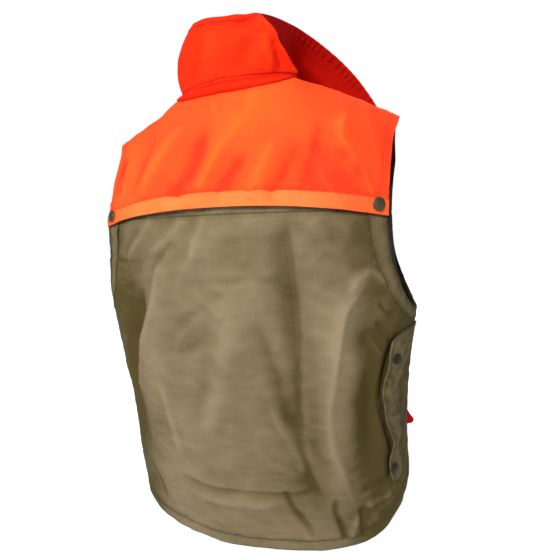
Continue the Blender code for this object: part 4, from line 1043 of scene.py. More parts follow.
def back_yoke_sheet():
    """The orange yoke from its free edge over the ridge to the neck and the shoulder seams."""
    half = np.concatenate((np.linspace(0, 0.385, 60), (0.4025, 0.42), np.linspace(0.43, 1, 88)))
    columns = np.concatenate((-half[:0:-1], half))
    rows = np.concatenate((np.linspace(0, 0.16, 20), np.linspace(0.17, 1, 64)))
    across, share = grid(columns, rows)
    x, roll = back_yoke_point(across, share)
    out = yoke_out(x, share)
    z = shoulder_point(x, roll)[..., 2]
    flat = upper_point(x, roll, out, False)
    normal = unit(flat - upper_point(x, roll, out - 0.01, False))
    calm = 1 - smoothstep(0.86, 0.97, share)
    fall = roll * FALL
    height = (1.25 * yoke_creases(x, roll, z) + 0.0009 * crumple(x + 0.5 * fall, fall * 0.35, 0.030, 21)
              + 0.0003 * crumple(x + 0.5 * fall, fall * 0.5, 0.014, 22)) * calm
    sheet = Sheet(flat + normal * height[..., None])
    band = (1 - smoothstep(YOKE_BAND - 0.0010, YOKE_BAND + 0.0006, sheet.low))
    puckers = 0.0006 * np.sin(x * math.tau / 0.013 + 2 * np.sin(x * 31)) * np.exp(
        -((sheet.low - YOKE_BAND - 0.002) / 0.006) ** 2)
    sheet.points = sheet.points + normal * (HEM_RELIEF * band + puckers)[..., None]
    # painted highlight on crests, painted shade in hollows, and listed patches of both
    sheet.fold = fold_tone(height, 0.95, 0.10) + painted_light_patches(x, z, YOKE_PAINTED_LIGHT)
    sheet.edge = band * (0.80 - 0.45 * smoothstep(0.10, 0.19, np.abs(x))) * (
        0.85 + 0.15 * ripple(x, sheet.low, 0.05, 6))
    sheet.sew(sheet.low - YOKE_BAND, sheet.start - YOKE_END_STITCH, sheet.end - YOKE_END_STITCH)
    return sheet


class VEST_OT_back_yoke(bpy.types.Operator):
    """Make the orange yoke over the shoulders, with the folded band along its free edge."""
    bl_idname = "vest.back_yoke"
    bl_label = "Back yoke"

    def execute(self, context):
        lay_sheet("back_yoke", back_yoke_sheet(), PANEL_CLOTH, "orange_cloth")
        return {"FINISHED"}


def neck_band_sheet():
    """The corded band below the collar's seam at the back of the neck."""
    share, drop = grid(np.linspace(-0.9, 0.9, 121), np.linspace(0, 1, 13))
    x, roll = back_neck(np.where(share >= 0, 1.0, -1.0), np.abs(share))
    width = NECK_BAND_WIDTH * (1 - 0.8 * np.abs(share) ** 2)
    roll = roll + (0.0015 + drop * width) / (ridge(x)[0] - YOKE_EDGE_Z)
    cord = 0.0009 * np.sqrt(np.clip(1 - (drop * 2 - 1) ** 2, 0, 1))
    sheet = Sheet(upper_point(x, roll, YOKE_WALL + 2 * LAYER_GAP + BAND_WALL + cord - 0.0006))
    # painted shade: darker over the whole band and towards both edges of the cord, lighter along its
    # middle
    sheet.fold = -0.35 - 0.75 * np.abs(2 * drop - 1) ** 2
    sheet.sew(sheet.high - NECK_BAND_STITCH, sheet.low - NECK_BAND_STITCH)
    return sheet


def collar_base(side_name, along):
    """The collar's seam on the yoke: along is 0 at the nape and 1 at the front end."""
    back_x, back_roll = back_neck(SIDES[side_name], np.minimum(along / COLLAR_BACK_SHARE, 1.0))
    front_x, front_roll = front_neck(
        side_name, np.clip((along - COLLAR_BACK_SHARE) / (1 - COLLAR_BACK_SHARE), 0, 1))
    behind = along <= COLLAR_BACK_SHARE
    return upper_point(np.where(behind, back_x, front_x), np.where(behind, back_roll, front_roll),
                       YOKE_WALL + LAYER_GAP, False)


def collar_point(along, height):
    """The collar from its seam, height 0, to its rim, height 1."""
    base = np.where((along >= 0)[..., None], collar_base("left", np.abs(along)),
                    collar_base("right", np.abs(along)))
    rim = np.stack([smooth_column(COLLAR_STATIONS, along, i) for i in (1, 2, 3)], -1)
    middle = np.stack([smooth_column(COLLAR_STATIONS, along, i) for i in (4, 5)]
                      + [np.zeros_like(along)], -1)
    base = base + unit(rim - base) * COLLAR_SEAM_LIFT
    return base + (rim - base) * height[..., None] + middle * (4 * height * (1 - height))[..., None]


def collar_sheet():
    """The tall collar with its fold at the right, behind which the open wing goes on."""
    along, height = grid(np.linspace(-1, 1, 301), denser(-0.035, 1, 62, 0.4))
    points = collar_point(along, height)
    run = np.gradient(points, axis=1)
    rise = np.gradient(points, axis=0)
    normal = unit(np.cross(run, rise))
    facing = np.sum(normal * outward_at(points))
    normal = normal if facing > 0 else -normal
    creases = crease_field(along * COLLAR_HALF, height * COLLAR_TALL, COLLAR_CREASES,
                           COLLAR_HALF, COLLAR_TALL)
    creases = creases + 0.0006 * ripple(along * COLLAR_HALF, height * COLLAR_TALL, 0.035, 3)
    sheet = Sheet(points)
    pucker_line = (np.exp(-((sheet.high - COLLAR_RIM_STITCH) / 0.006) ** 2)
                   * smoothstep(0.25, 0.45, -along))
    creases = creases * smoothstep(-0.01, 0.08, height) + 0.0009 * pucker_line * np.sin(
        along * COLLAR_HALF * math.tau / 0.011 + 2 * np.sin(along * 25))
    sheet.points = points + normal * (creases * settings().crease_strength)[..., None]
    # a painted shade over the wing behind the fold: the edge attribute blends in the dark band colour,
    # and the fold tone is lowered there
    border = smooth_line(COLLAR_CREASES[0][-1])
    behind = np.interp(height, border[::-1, 1], border[::-1, 0]) - along
    sheet.edge = smoothstep(-0.004, 0.012, behind) * (1 - 0.25 * smoothstep(0.0, 0.6, behind))
    # painted highlight and painted shade from the creases and the listed patches
    sheet.fold = (fold_tone(creases, 0.8, 0.20) - 0.8 * sheet.edge
                  + painted_light_patches(along * COLLAR_HALF, height * COLLAR_TALL, COLLAR_PAINTED_LIGHT))
    sheet.sew(sheet.high - COLLAR_RIM_STITCH, sheet.low - COLLAR_SEAM_STITCH,
              sheet.start - COLLAR_END_STITCH, sheet.end - COLLAR_END_STITCH)
    return sheet


class VEST_OT_collar(bpy.types.Operator):
    """Make the tall collar and the corded band below its seam."""
    bl_idname = "vest.collar"
    bl_label = "Collar and neck band"

    def execute(self, context):
        lay_sheet("collar", collar_sheet(), COLLAR_CLOTH, "collar_cloth",
                  inner="collar_cloth")
        lay_sheet("neck_band", neck_band_sheet(), NECK_BAND_CLOTH, "collar_cloth",
                  inner="collar_cloth")
        return {"FINISHED"}


def front_sheet(side_name):
    """A khaki front, from the zip's edge round to the side seam and the armhole."""
    side = SIDES[side_name]
    lower = np.linspace(0.0, 1.0, 90)
    levels = np.linspace(0, 1, 34)[1:] ** 1.5
    top_z = YOKE_EDGE_Z + 0.0060
    across = np.linspace(0, 1, 116)[None, :]

    def place_at(z, outer):
        inner = 2 - place_of_x(side * front_edge_x(z, side_name), z)
        return inner + (1 - inner) * across + (outer - 1) * across ** 3

    z_low = np.full((lower.size, across.size), ARMHOLE_BOTTOM_Z)
    for _ in range(3):
        place_low = place_at(z_low, 1.0)
        z_low = hem_z(side * place_low) + (ARMHOLE_BOTTOM_Z - hem_z(side * place_low)) * lower[:, None]
    z_high = ARMHOLE_BOTTOM_Z + (top_z - ARMHOLE_BOTTOM_Z) * levels[:, None] + 0 * across
    place_high = place_at(z_high, 2 - armhole_fraction(z_high, side, False))
    place, z = side * np.vstack((place_low, place_high)), np.vstack((z_low, z_high))
    tuck = SEAM_TUCK * smoothstep(YOKE_EDGE_Z - 0.0030, YOKE_EDGE_Z + 0.0010, z)
    sheet = Sheet(body_point(place, z, -tuck))
    height = body_creases(turn_of(place), z)
    # painted highlight and painted shade from the creases, and the painted side shade
    sheet.fold = fold_tone(height, 0.55, 0.15) + painted_body_shading(place, z)
    side_seam = np.where(z > ARMHOLE_BOTTOM_Z, NOT_SEWN, PLAIN_SEAM)
    sheet.sew(sheet.low - HEM_BAND, sheet.start - FRONT_EDGE_STITCH, sheet.end - side_seam)
    return sheet


def front_yoke_sheet(side_name):
    """An orange front piece, from under the shoulder seam down to the khaki front."""
    side = SIDES[side_name]
    neck_end = front_neck_roll(side_name)
    seam_roll = -SHOULDER_SEAM_FORWARD + 0.004
    rolls = np.concatenate((np.linspace(seam_roll - 0.030, seam_roll, 8)[:-1],
                            np.linspace(seam_roll, neck_end, 40), np.linspace(neck_end, 0.998, 34)[1:]))
    across, roll = grid(np.linspace(0, 1, 70), rolls)
    neck_x = np.abs(front_neck(side_name, np.minimum(roll / neck_end, 1.0))[0])
    top = ridge(np.array(side * FRONT_NECK[side_name][0]))[0]
    edge_x = front_edge_x(top - roll * (top - YOKE_EDGE_Z), side_name)
    inner_x = np.where(roll <= neck_end, neck_x, edge_x)
    top = ridge(np.array(side * YOKE_CORNER_X))[0]
    tip_top = ridge(np.array(side * SHOULDER_TIP_X))[0]
    tip_z = tip_top + SHOULDER_SEAM_FORWARD * (tip_top - YOKE_EDGE_Z)
    seam_z = top - seam_roll * (top - YOKE_EDGE_Z)
    seam_step = armhole_x(tip_z, side, True) - armhole_x(seam_z, side, False)
    tucked = 1 - smoothstep(seam_roll - 0.008, seam_roll + 0.006, roll)
    outer_x = armhole_x(top - roll * (top - YOKE_EDGE_Z), side, False)
    # at the shoulder seam the edge meets the back yoke's
    outer_x = outer_x + seam_step * (1 - smoothstep(seam_roll, neck_end, roll)) - 0.0015 * tucked
    out = (YOKE_WALL + LAYER_GAP) * (1 - smoothstep(seam_roll, 1.0, roll)) - SEAM_TUCK * tucked
    sheet = Sheet(upper_point(side * (inner_x + (outer_x - inner_x) * across), -roll, out))
    sheet.sew(sheet.high - FRONT_YOKE_LOW_STITCH, sheet.start - PLAIN_SEAM,
              sheet.end - FRONT_YOKE_EDGE_STITCH)
    return sheet


class VEST_OT_fronts(bpy.types.Operator):
    """Make both fronts: the khaki lower panels and the orange pieces below the shoulders."""
    bl_idname = "vest.fronts"
    bl_label = "Fronts"

    def execute(self, context):
        for side_name in SIDES:
            lay_sheet("front_" + side_name, front_sheet(side_name), PANEL_CLOTH, "khaki_cloth")
            lay_sheet("front_yoke_" + side_name, front_yoke_sheet(side_name), PANEL_CLOTH,
                      "orange_cloth", rim=1)
        return {"FINISHED"}


def armhole_edge(along, side):
    """Place and height on the khaki armhole's edge: -1 behind at the yoke, 0 underarm, 1 in front."""
    height = YOKE_EDGE_Z - ARMHOLE_BOTTOM_Z + np.where(along < 0, 0.008, -0.004)
    z = ARMHOLE_BOTTOM_Z + height * np.abs(along) ** 2.2
    back = armhole_fraction(z, side, True)
    front = armhole_fraction(z, side, False)
    return side * np.where(along < 0, back, 2 - front), z


def armhole_band_sheet(side_name):
    """The faced band: every row is moved away from the edge, square to it, on the body's surface."""
    side = SIDES[side_name]
    along, across = grid(np.linspace(-1, 1, 181), np.linspace(0.0, 1, 15))
    width = across * (ARM_BAND_NARROW + (ARM_BAND_WIDE - ARM_BAND_NARROW) * np.abs(along))
    place, z = armhole_edge(along, side)
    ahead = form_point(*armhole_edge(np.minimum(along + 0.01, 1.0), side))
    behind = form_point(*armhole_edge(np.maximum(along - 0.01, -1.0), side))
    run = unit(ahead - behind)
    per_place = (form_point(place + 0.01, z) - form_point(place - 0.01, z)) / 0.02
    per_height = (form_point(place, z + 0.002) - form_point(place, z - 0.002)) / 0.004
    away = np.cross(unit(np.cross(per_place, per_height)), run)
    flip = np.where(np.abs(along) < 0.6, away[..., 2] > 0, away[..., 0] * side > 0)
    away = np.where(flip[..., None], -away, away) * width[..., None]
    aa, bb = np.sum(per_place ** 2, -1), np.sum(per_height ** 2, -1)
    ab = np.sum(per_place * per_height, -1)
    a_move, b_move = np.sum(per_place * away, -1), np.sum(per_height * away, -1)
    det = aa * bb - ab ** 2
    place = place + (a_move * bb - b_move * ab) / det
    z = z + (b_move * aa - a_move * ab) / det
    under_yoke = smoothstep(YOKE_EDGE_Z - 0.006, YOKE_EDGE_Z + 0.004, z)
    puckers = 0.0003 * np.sin(along * 0.3 * math.tau / 0.009 + 2 * np.sin(along * 17)) * across
    sheet = Sheet(body_point(place, z, 0.0011 - 0.0004 * across - 0.0022 * under_yoke + puckers))
    # random tone, and the painted side shade at a share
    sheet.fold = 0.25 * ripple(along * 0.3, across * 0.02, 0.03, 2) + 0.45 * painted_body_shading(place, z)
    sheet.sew(sheet.high - BAND_FOLD_EDGE, sheet.low - BAND_OUTER_STITCH)
    return sheet


class VEST_OT_armhole_bands(bpy.types.Operator):
    """Make the faced bands round the khaki part of both armholes."""
    bl_idname = "vest.armhole_bands"
    bl_label = "Armhole bands"

    def execute(self, context):
        for side_name in SIDES:
            lay_sheet("armhole_band_" + side_name, armhole_band_sheet(side_name), ARM_BAND_CLOTH,
                      "khaki_cloth", "khaki_cloth")
        return {"FINISHED"}


def flap_out(across, z, side_name):
    """How far the flap's outer face stands off: it is sewn at its front, free and wavy at its back."""
    wave = (0.0014 + 0.0016 * np.sin((z + 0.33) * math.tau / 0.062)) * (1 - across) ** 1.5
    dent = 0.0010 * ripple(across * 0.03, z, 0.024, 5) * smoothstep(0.0, 0.3, across)
    shown = 1.0 if side_name == "right" else 0.0
    stand_off = smooth_column(FLAP, z, 3) * (1 - across ** 2) * (0.4 + 0.6 * shown)
    return LAYER_GAP + BAND_WALL + stand_off + shown * (wave + dent)


def side_flap_sheet(side_name):
    """The long flap over the side: sewn in front, with a free edge behind."""
    side = SIDES[side_name]
    across, z = grid(np.linspace(0, 1, 25), np.linspace(FLAP[-1, 0], FLAP[0, 0], 121))
    back, front = [smooth_column(FLAP, z, column) + FLAP_FORWARD[side_name] for column in (1, 2)]
    place = side * (back + (front - back) * across)
    sheet = Sheet(body_point(place, z, flap_out(across, z, side_name)))
    # painted shade over the whole flap, a lighter line along its free edge, and crumpled mottling
    sheet.fold = np.clip(0.5 * crumple(sheet.start, z, 0.012, 31)
                         + 0.7 * np.exp(-(sheet.start / 0.0015) ** 2) - 0.75, -1.2, 1)
    sheet.sew(sheet.start - FLAP_STITCH, sheet.end - FLAP_STITCH, sheet.high - FLAP_STITCH)
    return sheet


class VEST_OT_side_flaps(bpy.types.Operator):
    """Make the long flaps that close with two snaps at each side."""
    bl_idname = "vest.side_flaps"
    bl_label = "Side flaps"

    def execute(self, context):
        for side_name in SIDES:
            lay_sheet("side_flap_" + side_name, side_flap_sheet(side_name), FLAP_CLOTH, "khaki_cloth",
                      "khaki_cloth")
        return {"FINISHED"}


def cloth_frame(surface, a, b, out):
    """A point on a creased cloth layer and the outward normal of its smooth form there."""
    a, b = np.array(a), np.array(b)
    normal = surface(a, b, np.array(out + 0.01), False) - surface(a, b, np.array(out), False)
    return surface(a, b, np.array(out), True), unit(normal)


def turned(profile, steps):
    """A closed solid of revolution about Z from its profile of (radius, height)."""
    shape = bmesh.new()
    rings = []
    for radius, height in profile:
        if radius < 1e-9:
            rings.append([shape.verts.new((0, 0, height))])
        else:
            rings.append([shape.verts.new((radius * math.cos(math.tau * i / steps),
                                           radius * math.sin(math.tau * i / steps), height))
                          for i in range(steps)])
    for low, high in zip(rings, rings[1:]):
        for i in range(steps):
            j = (i + 1) % steps
            corners = [low[i % len(low)], low[j % len(low)], high[j % len(high)], high[i % len(high)]]
            shape.faces.new(list(dict.fromkeys(corners)))
    bmesh.ops.recalc_face_normals(shape, faces=shape.faces)
    return shape


def place_shape(name, shape, point, normal, material):
    """Turn a brass shape's Z to the normal, move it to its point and make it a piece."""
    if not shape.faces:
        raise RuntimeError(name + ": the shape has no faces")
    turn = Vector(normal).to_track_quat("Z", "Y").to_matrix().to_4x4()
    bmesh.ops.transform(shape, matrix=Matrix.Translation(Vector(point)) @ turn, verts=shape.verts)
    mesh = bpy.data.meshes.new(name)
    shape.to_mesh(mesh)
    shape.free()
    mesh.shade_smooth()
    mesh.materials.append(finish_for(material))
    piece = bpy.data.objects.new(name, mesh)
    bpy.context.scene.collection.objects.link(piece)
    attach(piece, "vest")
    return piece


def snap_shape(radius):
    """The cap of a snap, with a rolled rim and a low dome."""
    return turned([(r * radius, h * SNAP_HEIGHT) for r, h in SNAP_PROFILE], 44)


class VEST_OT_snaps(bpy.types.Operator):
    """Make the caps of the six snaps."""
    bl_idname = "vest.snaps"
    bl_label = "Snaps"

    def execute(self, context):
        for side_name, side in SIDES.items():
            x = side * YOKE_SNAP_X[side_name]
            top = float(ridge(np.array(x))[0])
            roll = (top - YOKE_SNAP_Z) / (top - YOKE_EDGE_Z)
            out = float(yoke_out(np.array(x), 0.07)) + LAYER_GAP
            point, normal = cloth_frame(upper_point, x, roll, out)
            name = "yoke_snap_" + side_name
            cap = place_shape(name + "_cap", snap_shape(SNAP_RADIUS), point, normal, "aged_brass")
            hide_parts(name)
            for level, (z, fraction) in FLAP_SNAPS.items():
                back, front = [smooth_column(FLAP, np.array(z), column) for column in (1, 2)]
                across = (fraction - back) / (front - back)
                out = float(flap_out(across, np.array(z), side_name)) + 0.0004
                place = side * (fraction + FLAP_FORWARD[side_name])
                point, normal = cloth_frame(body_point, place, z, out)
                name = "flap_snap_" + level + "_" + side_name
                # the flap's snaps take the copy of the brass darkened as painted shade
                cap = place_shape(name + "_cap", snap_shape(FLAP_SNAP_RADIUS), point, normal,
                                  "dark_brass")
                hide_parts(name)
        return {"FINISHED"}


class VEST_OT_side_tabs(bpy.types.Operator):
    """Make the small folded tabs sewn into the side seams."""
    bl_idname = "vest.side_tabs"
    bl_label = "Side tabs"

    def execute(self, context):
        for side_name, side in SIDES.items():
            point, normal = cloth_frame(body_point, side * TAB_PLACE, TAB_Z, LAYER_GAP)
            across = Vector(normal).cross(Vector((0, 0, 1))).normalized()
            up = across.cross(Vector(normal)).normalized()
            turn = Matrix((Vector(normal), up, Vector(normal).cross(up))).transposed().to_4x4()
            shape = bmesh.new()
            face = shape.faces.new([
                shape.verts.new((x * TAB_REACH, y * TAB_LENGTH, -0.5 * TAB_THICKNESS))
                for x, y in TAB_OUTLINE])
            raised = bmesh.ops.extrude_face_region(shape, geom=[face])
            bmesh.ops.translate(shape, vec=(0, 0, TAB_THICKNESS),
                                verts=[v for v in raised["geom"] if isinstance(v, bmesh.types.BMVert)])
            bmesh.ops.recalc_face_normals(shape, faces=shape.faces)
            bmesh.ops.bevel(shape, geom=shape.edges[:], offset=0.0004, segments=2, affect="EDGES")
            bmesh.ops.transform(shape, matrix=Matrix.Translation(Vector(point)) @ turn,
                                verts=shape.verts)
            name = "side_tab_" + side_name
            mesh = bpy.data.meshes.new(name + "_cloth")
            shape.to_mesh(mesh)
            shape.free()
            layer = mesh.uv_layers.new(name="cloth")
            for loop in mesh.loops:
                co = mesh.vertices[loop.vertex_index].co
                layer.data[loop.index].uv = (co.x * side, co.z)
            for key, value in (("seam", 1.0), ("edge", 0.0), ("fold", 0.2)):
                attribute = mesh.attributes.new(key, "FLOAT", "POINT")
                attribute.data.foreach_set("value", np.full(len(mesh.vertices), value, np.float32))
            mesh.materials.append(finish_for("tab_cloth"))
            piece = bpy.data.objects.new(name + "_cloth", mesh)
            bpy.context.scene.collection.objects.link(piece)
            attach(piece, "vest")
            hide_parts(name)
        return {"FINISHED"}


# Stitches and zip teeth: one shape repeated along lines

def line_mesh(name, lines):
    """Lines as one mesh of edges. Each point keeps the cloth's outward direction as 'facing'."""
    points, edges, facing = [], [], []
    for line, normals in lines:
        first = len(points)
        points.extend(np.asarray(line).tolist())
        facing.extend(np.asarray(normals).tolist())
        edges.extend((first + i, first + i + 1) for i in range(len(line) - 1))
    mesh = bpy.data.meshes.new(name)
    mesh.from_pydata(points, edges, [])
    attribute = mesh.attributes.new("facing", "FLOAT_VECTOR", "POINT")
    attribute.data.foreach_set("vector", np.array(facing, np.float32).ravel())
    return mesh


def repeat_tree():
    """A Geometry Nodes tree that sets one shape along the lines of a mesh."""
    tree = bpy.data.node_groups.new("repeat_along_lines", "GeometryNodeTree")
    for name, kind, way in (
            ("Lines", "NodeSocketGeometry", "INPUT"), ("Shape", "NodeSocketObject", "INPUT"),
            ("Pitch", "NodeSocketFloat", "INPUT"), ("Unevenness", "NodeSocketFloat", "INPUT"),
            ("Seed", "NodeSocketInt", "INPUT"), ("Material", "NodeSocketMaterial", "INPUT"),
            ("Geometry", "NodeSocketGeometry", "OUTPUT")):
        tree.interface.new_socket(name, in_out=way, socket_type=kind)

    def add(kind, settings=None, **inputs):
        node = tree.nodes.new(kind)
        for key, value in (settings or {}).items():
            setattr(node, key, value)
        for key, value in inputs.items():
            slot = next(s for s in node.inputs
                        if key in (s.name.replace(" ", "_"), s.identifier) and s.enabled)
            if isinstance(value, bpy.types.NodeSocket):
                tree.links.new(value, slot)
            else:
                slot.default_value = value
        return node

    given = add("NodeGroupInput").outputs
    curve = add("GeometryNodeMeshToCurve", Mesh=given["Lines"])
    even = add("GeometryNodeResampleCurve", {"mode": "LENGTH"}, Curve=curve.outputs[0],
               Length=given["Pitch"])
    facing = add("GeometryNodeInputNamedAttribute", {"data_type": "FLOAT_VECTOR"}, Name="facing")
    tangent = add("GeometryNodeInputTangent")
    points = add("GeometryNodeCaptureAttribute")
    points.capture_items.new("VECTOR", "Tangent")
    tree.links.new(even.outputs[0], points.inputs[0])
    tree.links.new(tangent.outputs[0], points.inputs["Tangent"])
    along = add("FunctionNodeAlignRotationToVector", {"axis": "Z"}, Vector=points.outputs["Tangent"])
    turned_out = add("FunctionNodeAlignRotationToVector", {"axis": "Y", "pivot_axis": "Z"},
                     Rotation=along.outputs[0], Vector=facing.outputs[0])
    shape = add("GeometryNodeObjectInfo", Object=given["Shape"])
    low = add("ShaderNodeMath", {"operation": "SUBTRACT"}, Value=1.0, Value_001=given["Unevenness"])
    high = add("ShaderNodeMath", {"operation": "ADD"}, Value=1.0, Value_001=given["Unevenness"])
    size = add("FunctionNodeRandomValue", {"data_type": "FLOAT"}, Min_001=low.outputs[0],
               Max_001=high.outputs[0], Seed=given["Seed"])
    placed = add("GeometryNodeInstanceOnPoints", Points=points.outputs[0],
                 Instance=shape.outputs["Geometry"], Rotation=turned_out.outputs[0])
    value = next(s for s in size.outputs if s.enabled)
    tree.links.new(value, placed.inputs["Scale"])
    real = add("GeometryNodeRealizeInstances", Geometry=placed.outputs[0])
    painted = add("GeometryNodeSetMaterial", Geometry=real.outputs[0], Material=given["Material"])
    tree.links.new(painted.outputs[0], add("NodeGroupOutput").inputs[0])
    return tree


def repeat_along(name, lines, shape, pitch, unevenness, seed, material):
    """Set a shape along lines with the repeating tree, and keep the result as a plain mesh."""
    tree = bpy.data.node_groups.get("repeat_along_lines") or repeat_tree()
    holder = bpy.data.objects.new(name + "_lines", line_mesh(name + "_lines", lines))
    model = bpy.data.objects.new(name + "_shape", bpy.data.meshes.new(name + "_shape"))
    shape.to_mesh(model.data)
    shape.free()
    model.data.shade_smooth()
    for part in (holder, model):
        bpy.context.scene.collection.objects.link(part)
    modifier = holder.modifiers.new("repeat", "NODES")
    modifier.node_group = tree
    values = {"Shape": model, "Pitch": pitch, "Unevenness": unevenness, "Seed": seed,
              "Material": finish_for(material)}
    for item in tree.interface.items_tree:
        if item.in_out == "INPUT" and item.name in values:
            modifier[item.identifier] = values[item.name]
    bpy.context.view_layer.update()
    evaluated = holder.evaluated_get(bpy.context.evaluated_depsgraph_get())
    mesh = bpy.data.meshes.new_from_object(evaluated)
    if not mesh.polygons:
        raise RuntimeError(name + ": nothing was set along the lines")
    mesh.name = name
    piece = bpy.data.objects.new(name, mesh)
    bpy.context.scene.collection.objects.link(piece)
    for part in (holder, model):
        bpy.data.objects.remove(part, do_unlink=True)
    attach(piece, "vest")
    return piece


def sheet_line(sheet, distance, level):
    """The line on a sheet's outer face where a distance field crosses a level, column by column."""
    columns = distance.shape[1]
    lines, line, normals = [], [], []
    run, rise = np.gradient(sheet.points, axis=1), np.gradient(sheet.points, axis=0)
    normal = unit(np.cross(run, rise))
    if np.sum(normal * outward_at(sheet.points)) < 0:
        normal = -normal
    for column in range(columns):
        values = distance[:, column] - level
        crossing = np.nonzero(values[:-1] * values[1:] <= 0)[0]
        good = len(crossing) > 0
        if good:
            i = crossing[0]
            t = values[i] / (values[i] - values[i + 1] + 1e-12)
            out = unit(normal[i, column] * (1 - t) + normal[i + 1, column] * t)
            line.append(sheet.points[i, column] * (1 - t) + sheet.points[i + 1, column] * t
                        + out * STITCH_LIFT)
            normals.append(out)
        if (not good or column == columns - 1) and len(line) > 1:
            lines.append((np.array(line), np.array(normals)))
        if not good:
            line, normals = [], []
    return lines


def turned_sheet(sheet):
    """The same sheet with rows and columns exchanged, to follow lines that run up and down."""
    return Sheet(np.swapaxes(sheet.points, 0, 1))


def stitch_shape():
    """One stitch along Z: a thread that dips into the cloth at both ends."""
    s = settings()
    shape = bmesh.new()
    rings, sides = [], 6
    half = s.stitch_length * 0.40
    for t, bulge, lift in ((-1, 0.45, -1.1), (-0.72, 0.9, -0.2), (0, 1.0, 0.25), (0.72, 0.9, -0.2),
                           (1, 0.45, -1.1)):
        radius = s.thread_radius * bulge
        rings.append([shape.verts.new((radius * math.cos(math.tau * k / sides),
                                       radius * math.sin(math.tau * k / sides) + lift * s.thread_radius,
                                       half * t)) for k in range(sides)])
    for low, high in zip(rings, rings[1:]):
        for k in range(sides):
            shape.faces.new((low[k], low[(k + 1) % sides], high[(k + 1) % sides], high[k]))
    shape.faces.new(rings[0][::-1])
    shape.faces.new(rings[-1])
    bmesh.ops.recalc_face_normals(shape, faces=shape.faces)
    return shape


class VEST_OT_stitching(bpy.types.Operator):
    """Sew the visible lines: hems, yoke, collar, armholes, flaps and zip."""
    bl_idname = "vest.stitching"
    bl_label = "Stitching"

    def execute(self, context):
        s = settings()
        khaki, orange = [], []
        back = back_panel_sheet()
        khaki += sheet_line(back, back.low, HEM_BAND) + sheet_line(back, back.high, HIDDEN_SEAM)
        yoke = back_yoke_sheet()
        orange += sheet_line(yoke, yoke.low, YOKE_BAND)
        side_on = turned_sheet(yoke)
        orange += (sheet_line(side_on, side_on.low, YOKE_END_STITCH)
                   + sheet_line(side_on, side_on.high, YOKE_END_STITCH))
        collar = collar_sheet()
        repeat_along("collar_stitches", sheet_line(collar, collar.high, COLLAR_RIM_STITCH)
                     + sheet_line(collar, collar.low, COLLAR_SEAM_STITCH), stitch_shape(),
                     s.stitch_length, STITCH_UNEVEN, 5, "collar_thread")
        for side_name in SIDES:
            front = front_sheet(side_name)
            khaki += sheet_line(front, front.low, HEM_BAND)
            side_on = turned_sheet(front)
            khaki += sheet_line(side_on, side_on.low, FRONT_EDGE_STITCH)
            upper = front_yoke_sheet(side_name)
            orange += sheet_line(upper, upper.high, FRONT_YOKE_LOW_STITCH)
            side_on = turned_sheet(upper)
            orange += sheet_line(side_on, side_on.high, FRONT_YOKE_EDGE_STITCH)
            band = armhole_band_sheet(side_name)
            khaki += (sheet_line(band, band.low, BAND_OUTER_STITCH)
                      + sheet_line(band, band.high, BAND_EDGE_STITCH))
            flap = turned_sheet(side_flap_sheet(side_name))
            khaki += sheet_line(flap, flap.low, FLAP_STITCH) + sheet_line(flap, flap.high, FLAP_STITCH)
        repeat_along("khaki_stitches", khaki, stitch_shape(), s.stitch_length, STITCH_UNEVEN, 7,
                     "khaki_thread")
        repeat_along("orange_stitches", orange, stitch_shape(), s.stitch_length, STITCH_UNEVEN, 11,
                     "orange_thread")
        return {"FINISHED"}


# The zip

def tooth_shape():
    """One moulded tooth: it grips the tape's edge, and its nose points to the other tape along +X."""
    pitch = settings().tooth_pitch
    shape = bmesh.new()
    outline = ((-0.0022, -0.0011), (0.0012, -0.0011), (0.0016, -0.0016), (0.0026, -0.0013),
               (0.0030, 0.0), (0.0026, 0.0013), (0.0016, 0.0016), (0.0012, 0.0011), (-0.0022, 0.0011))
    layers = []
    for z in (-0.24 * pitch, 0.24 * pitch):
        layers.append([shape.verts.new((x, y, z)) for x, y in outline])
    count = len(outline)
    for k in range(count):
        shape.faces.new((layers[0][k], layers[0][(k + 1) % count], layers[1][(k + 1) % count],
                         layers[1][k]))
    shape.faces.new(layers[0][::-1])
    shape.faces.new(layers[1])
    bmesh.ops.recalc_face_normals(shape, faces=shape.faces)
    return shape


def zip_tape_sheet(side_name):
    """A zip tape, from the hem up to the neck, behind its front's edge."""
    side = SIDES[side_name]
    end_z = FRONT_NECK[side_name][1] - 0.004
    low_z = float(hem_z(np.array(2.0))) + 0.001
    across, share = grid(np.linspace(0, 1, 9), np.linspace(0, 1, 161))
    z = low_z + (end_z - low_z) * share
    x = front_edge_x(z, side_name) - TAPE_SHOWS + TAPE_WIDTH * across
    sheet = Sheet(centre_front_point(side * x, z, np.full(z.shape, -TAPE_DEPTH - LAYER_GAP)))
    sheet.sew(sheet.start - TAPE_STITCH)
    return sheet


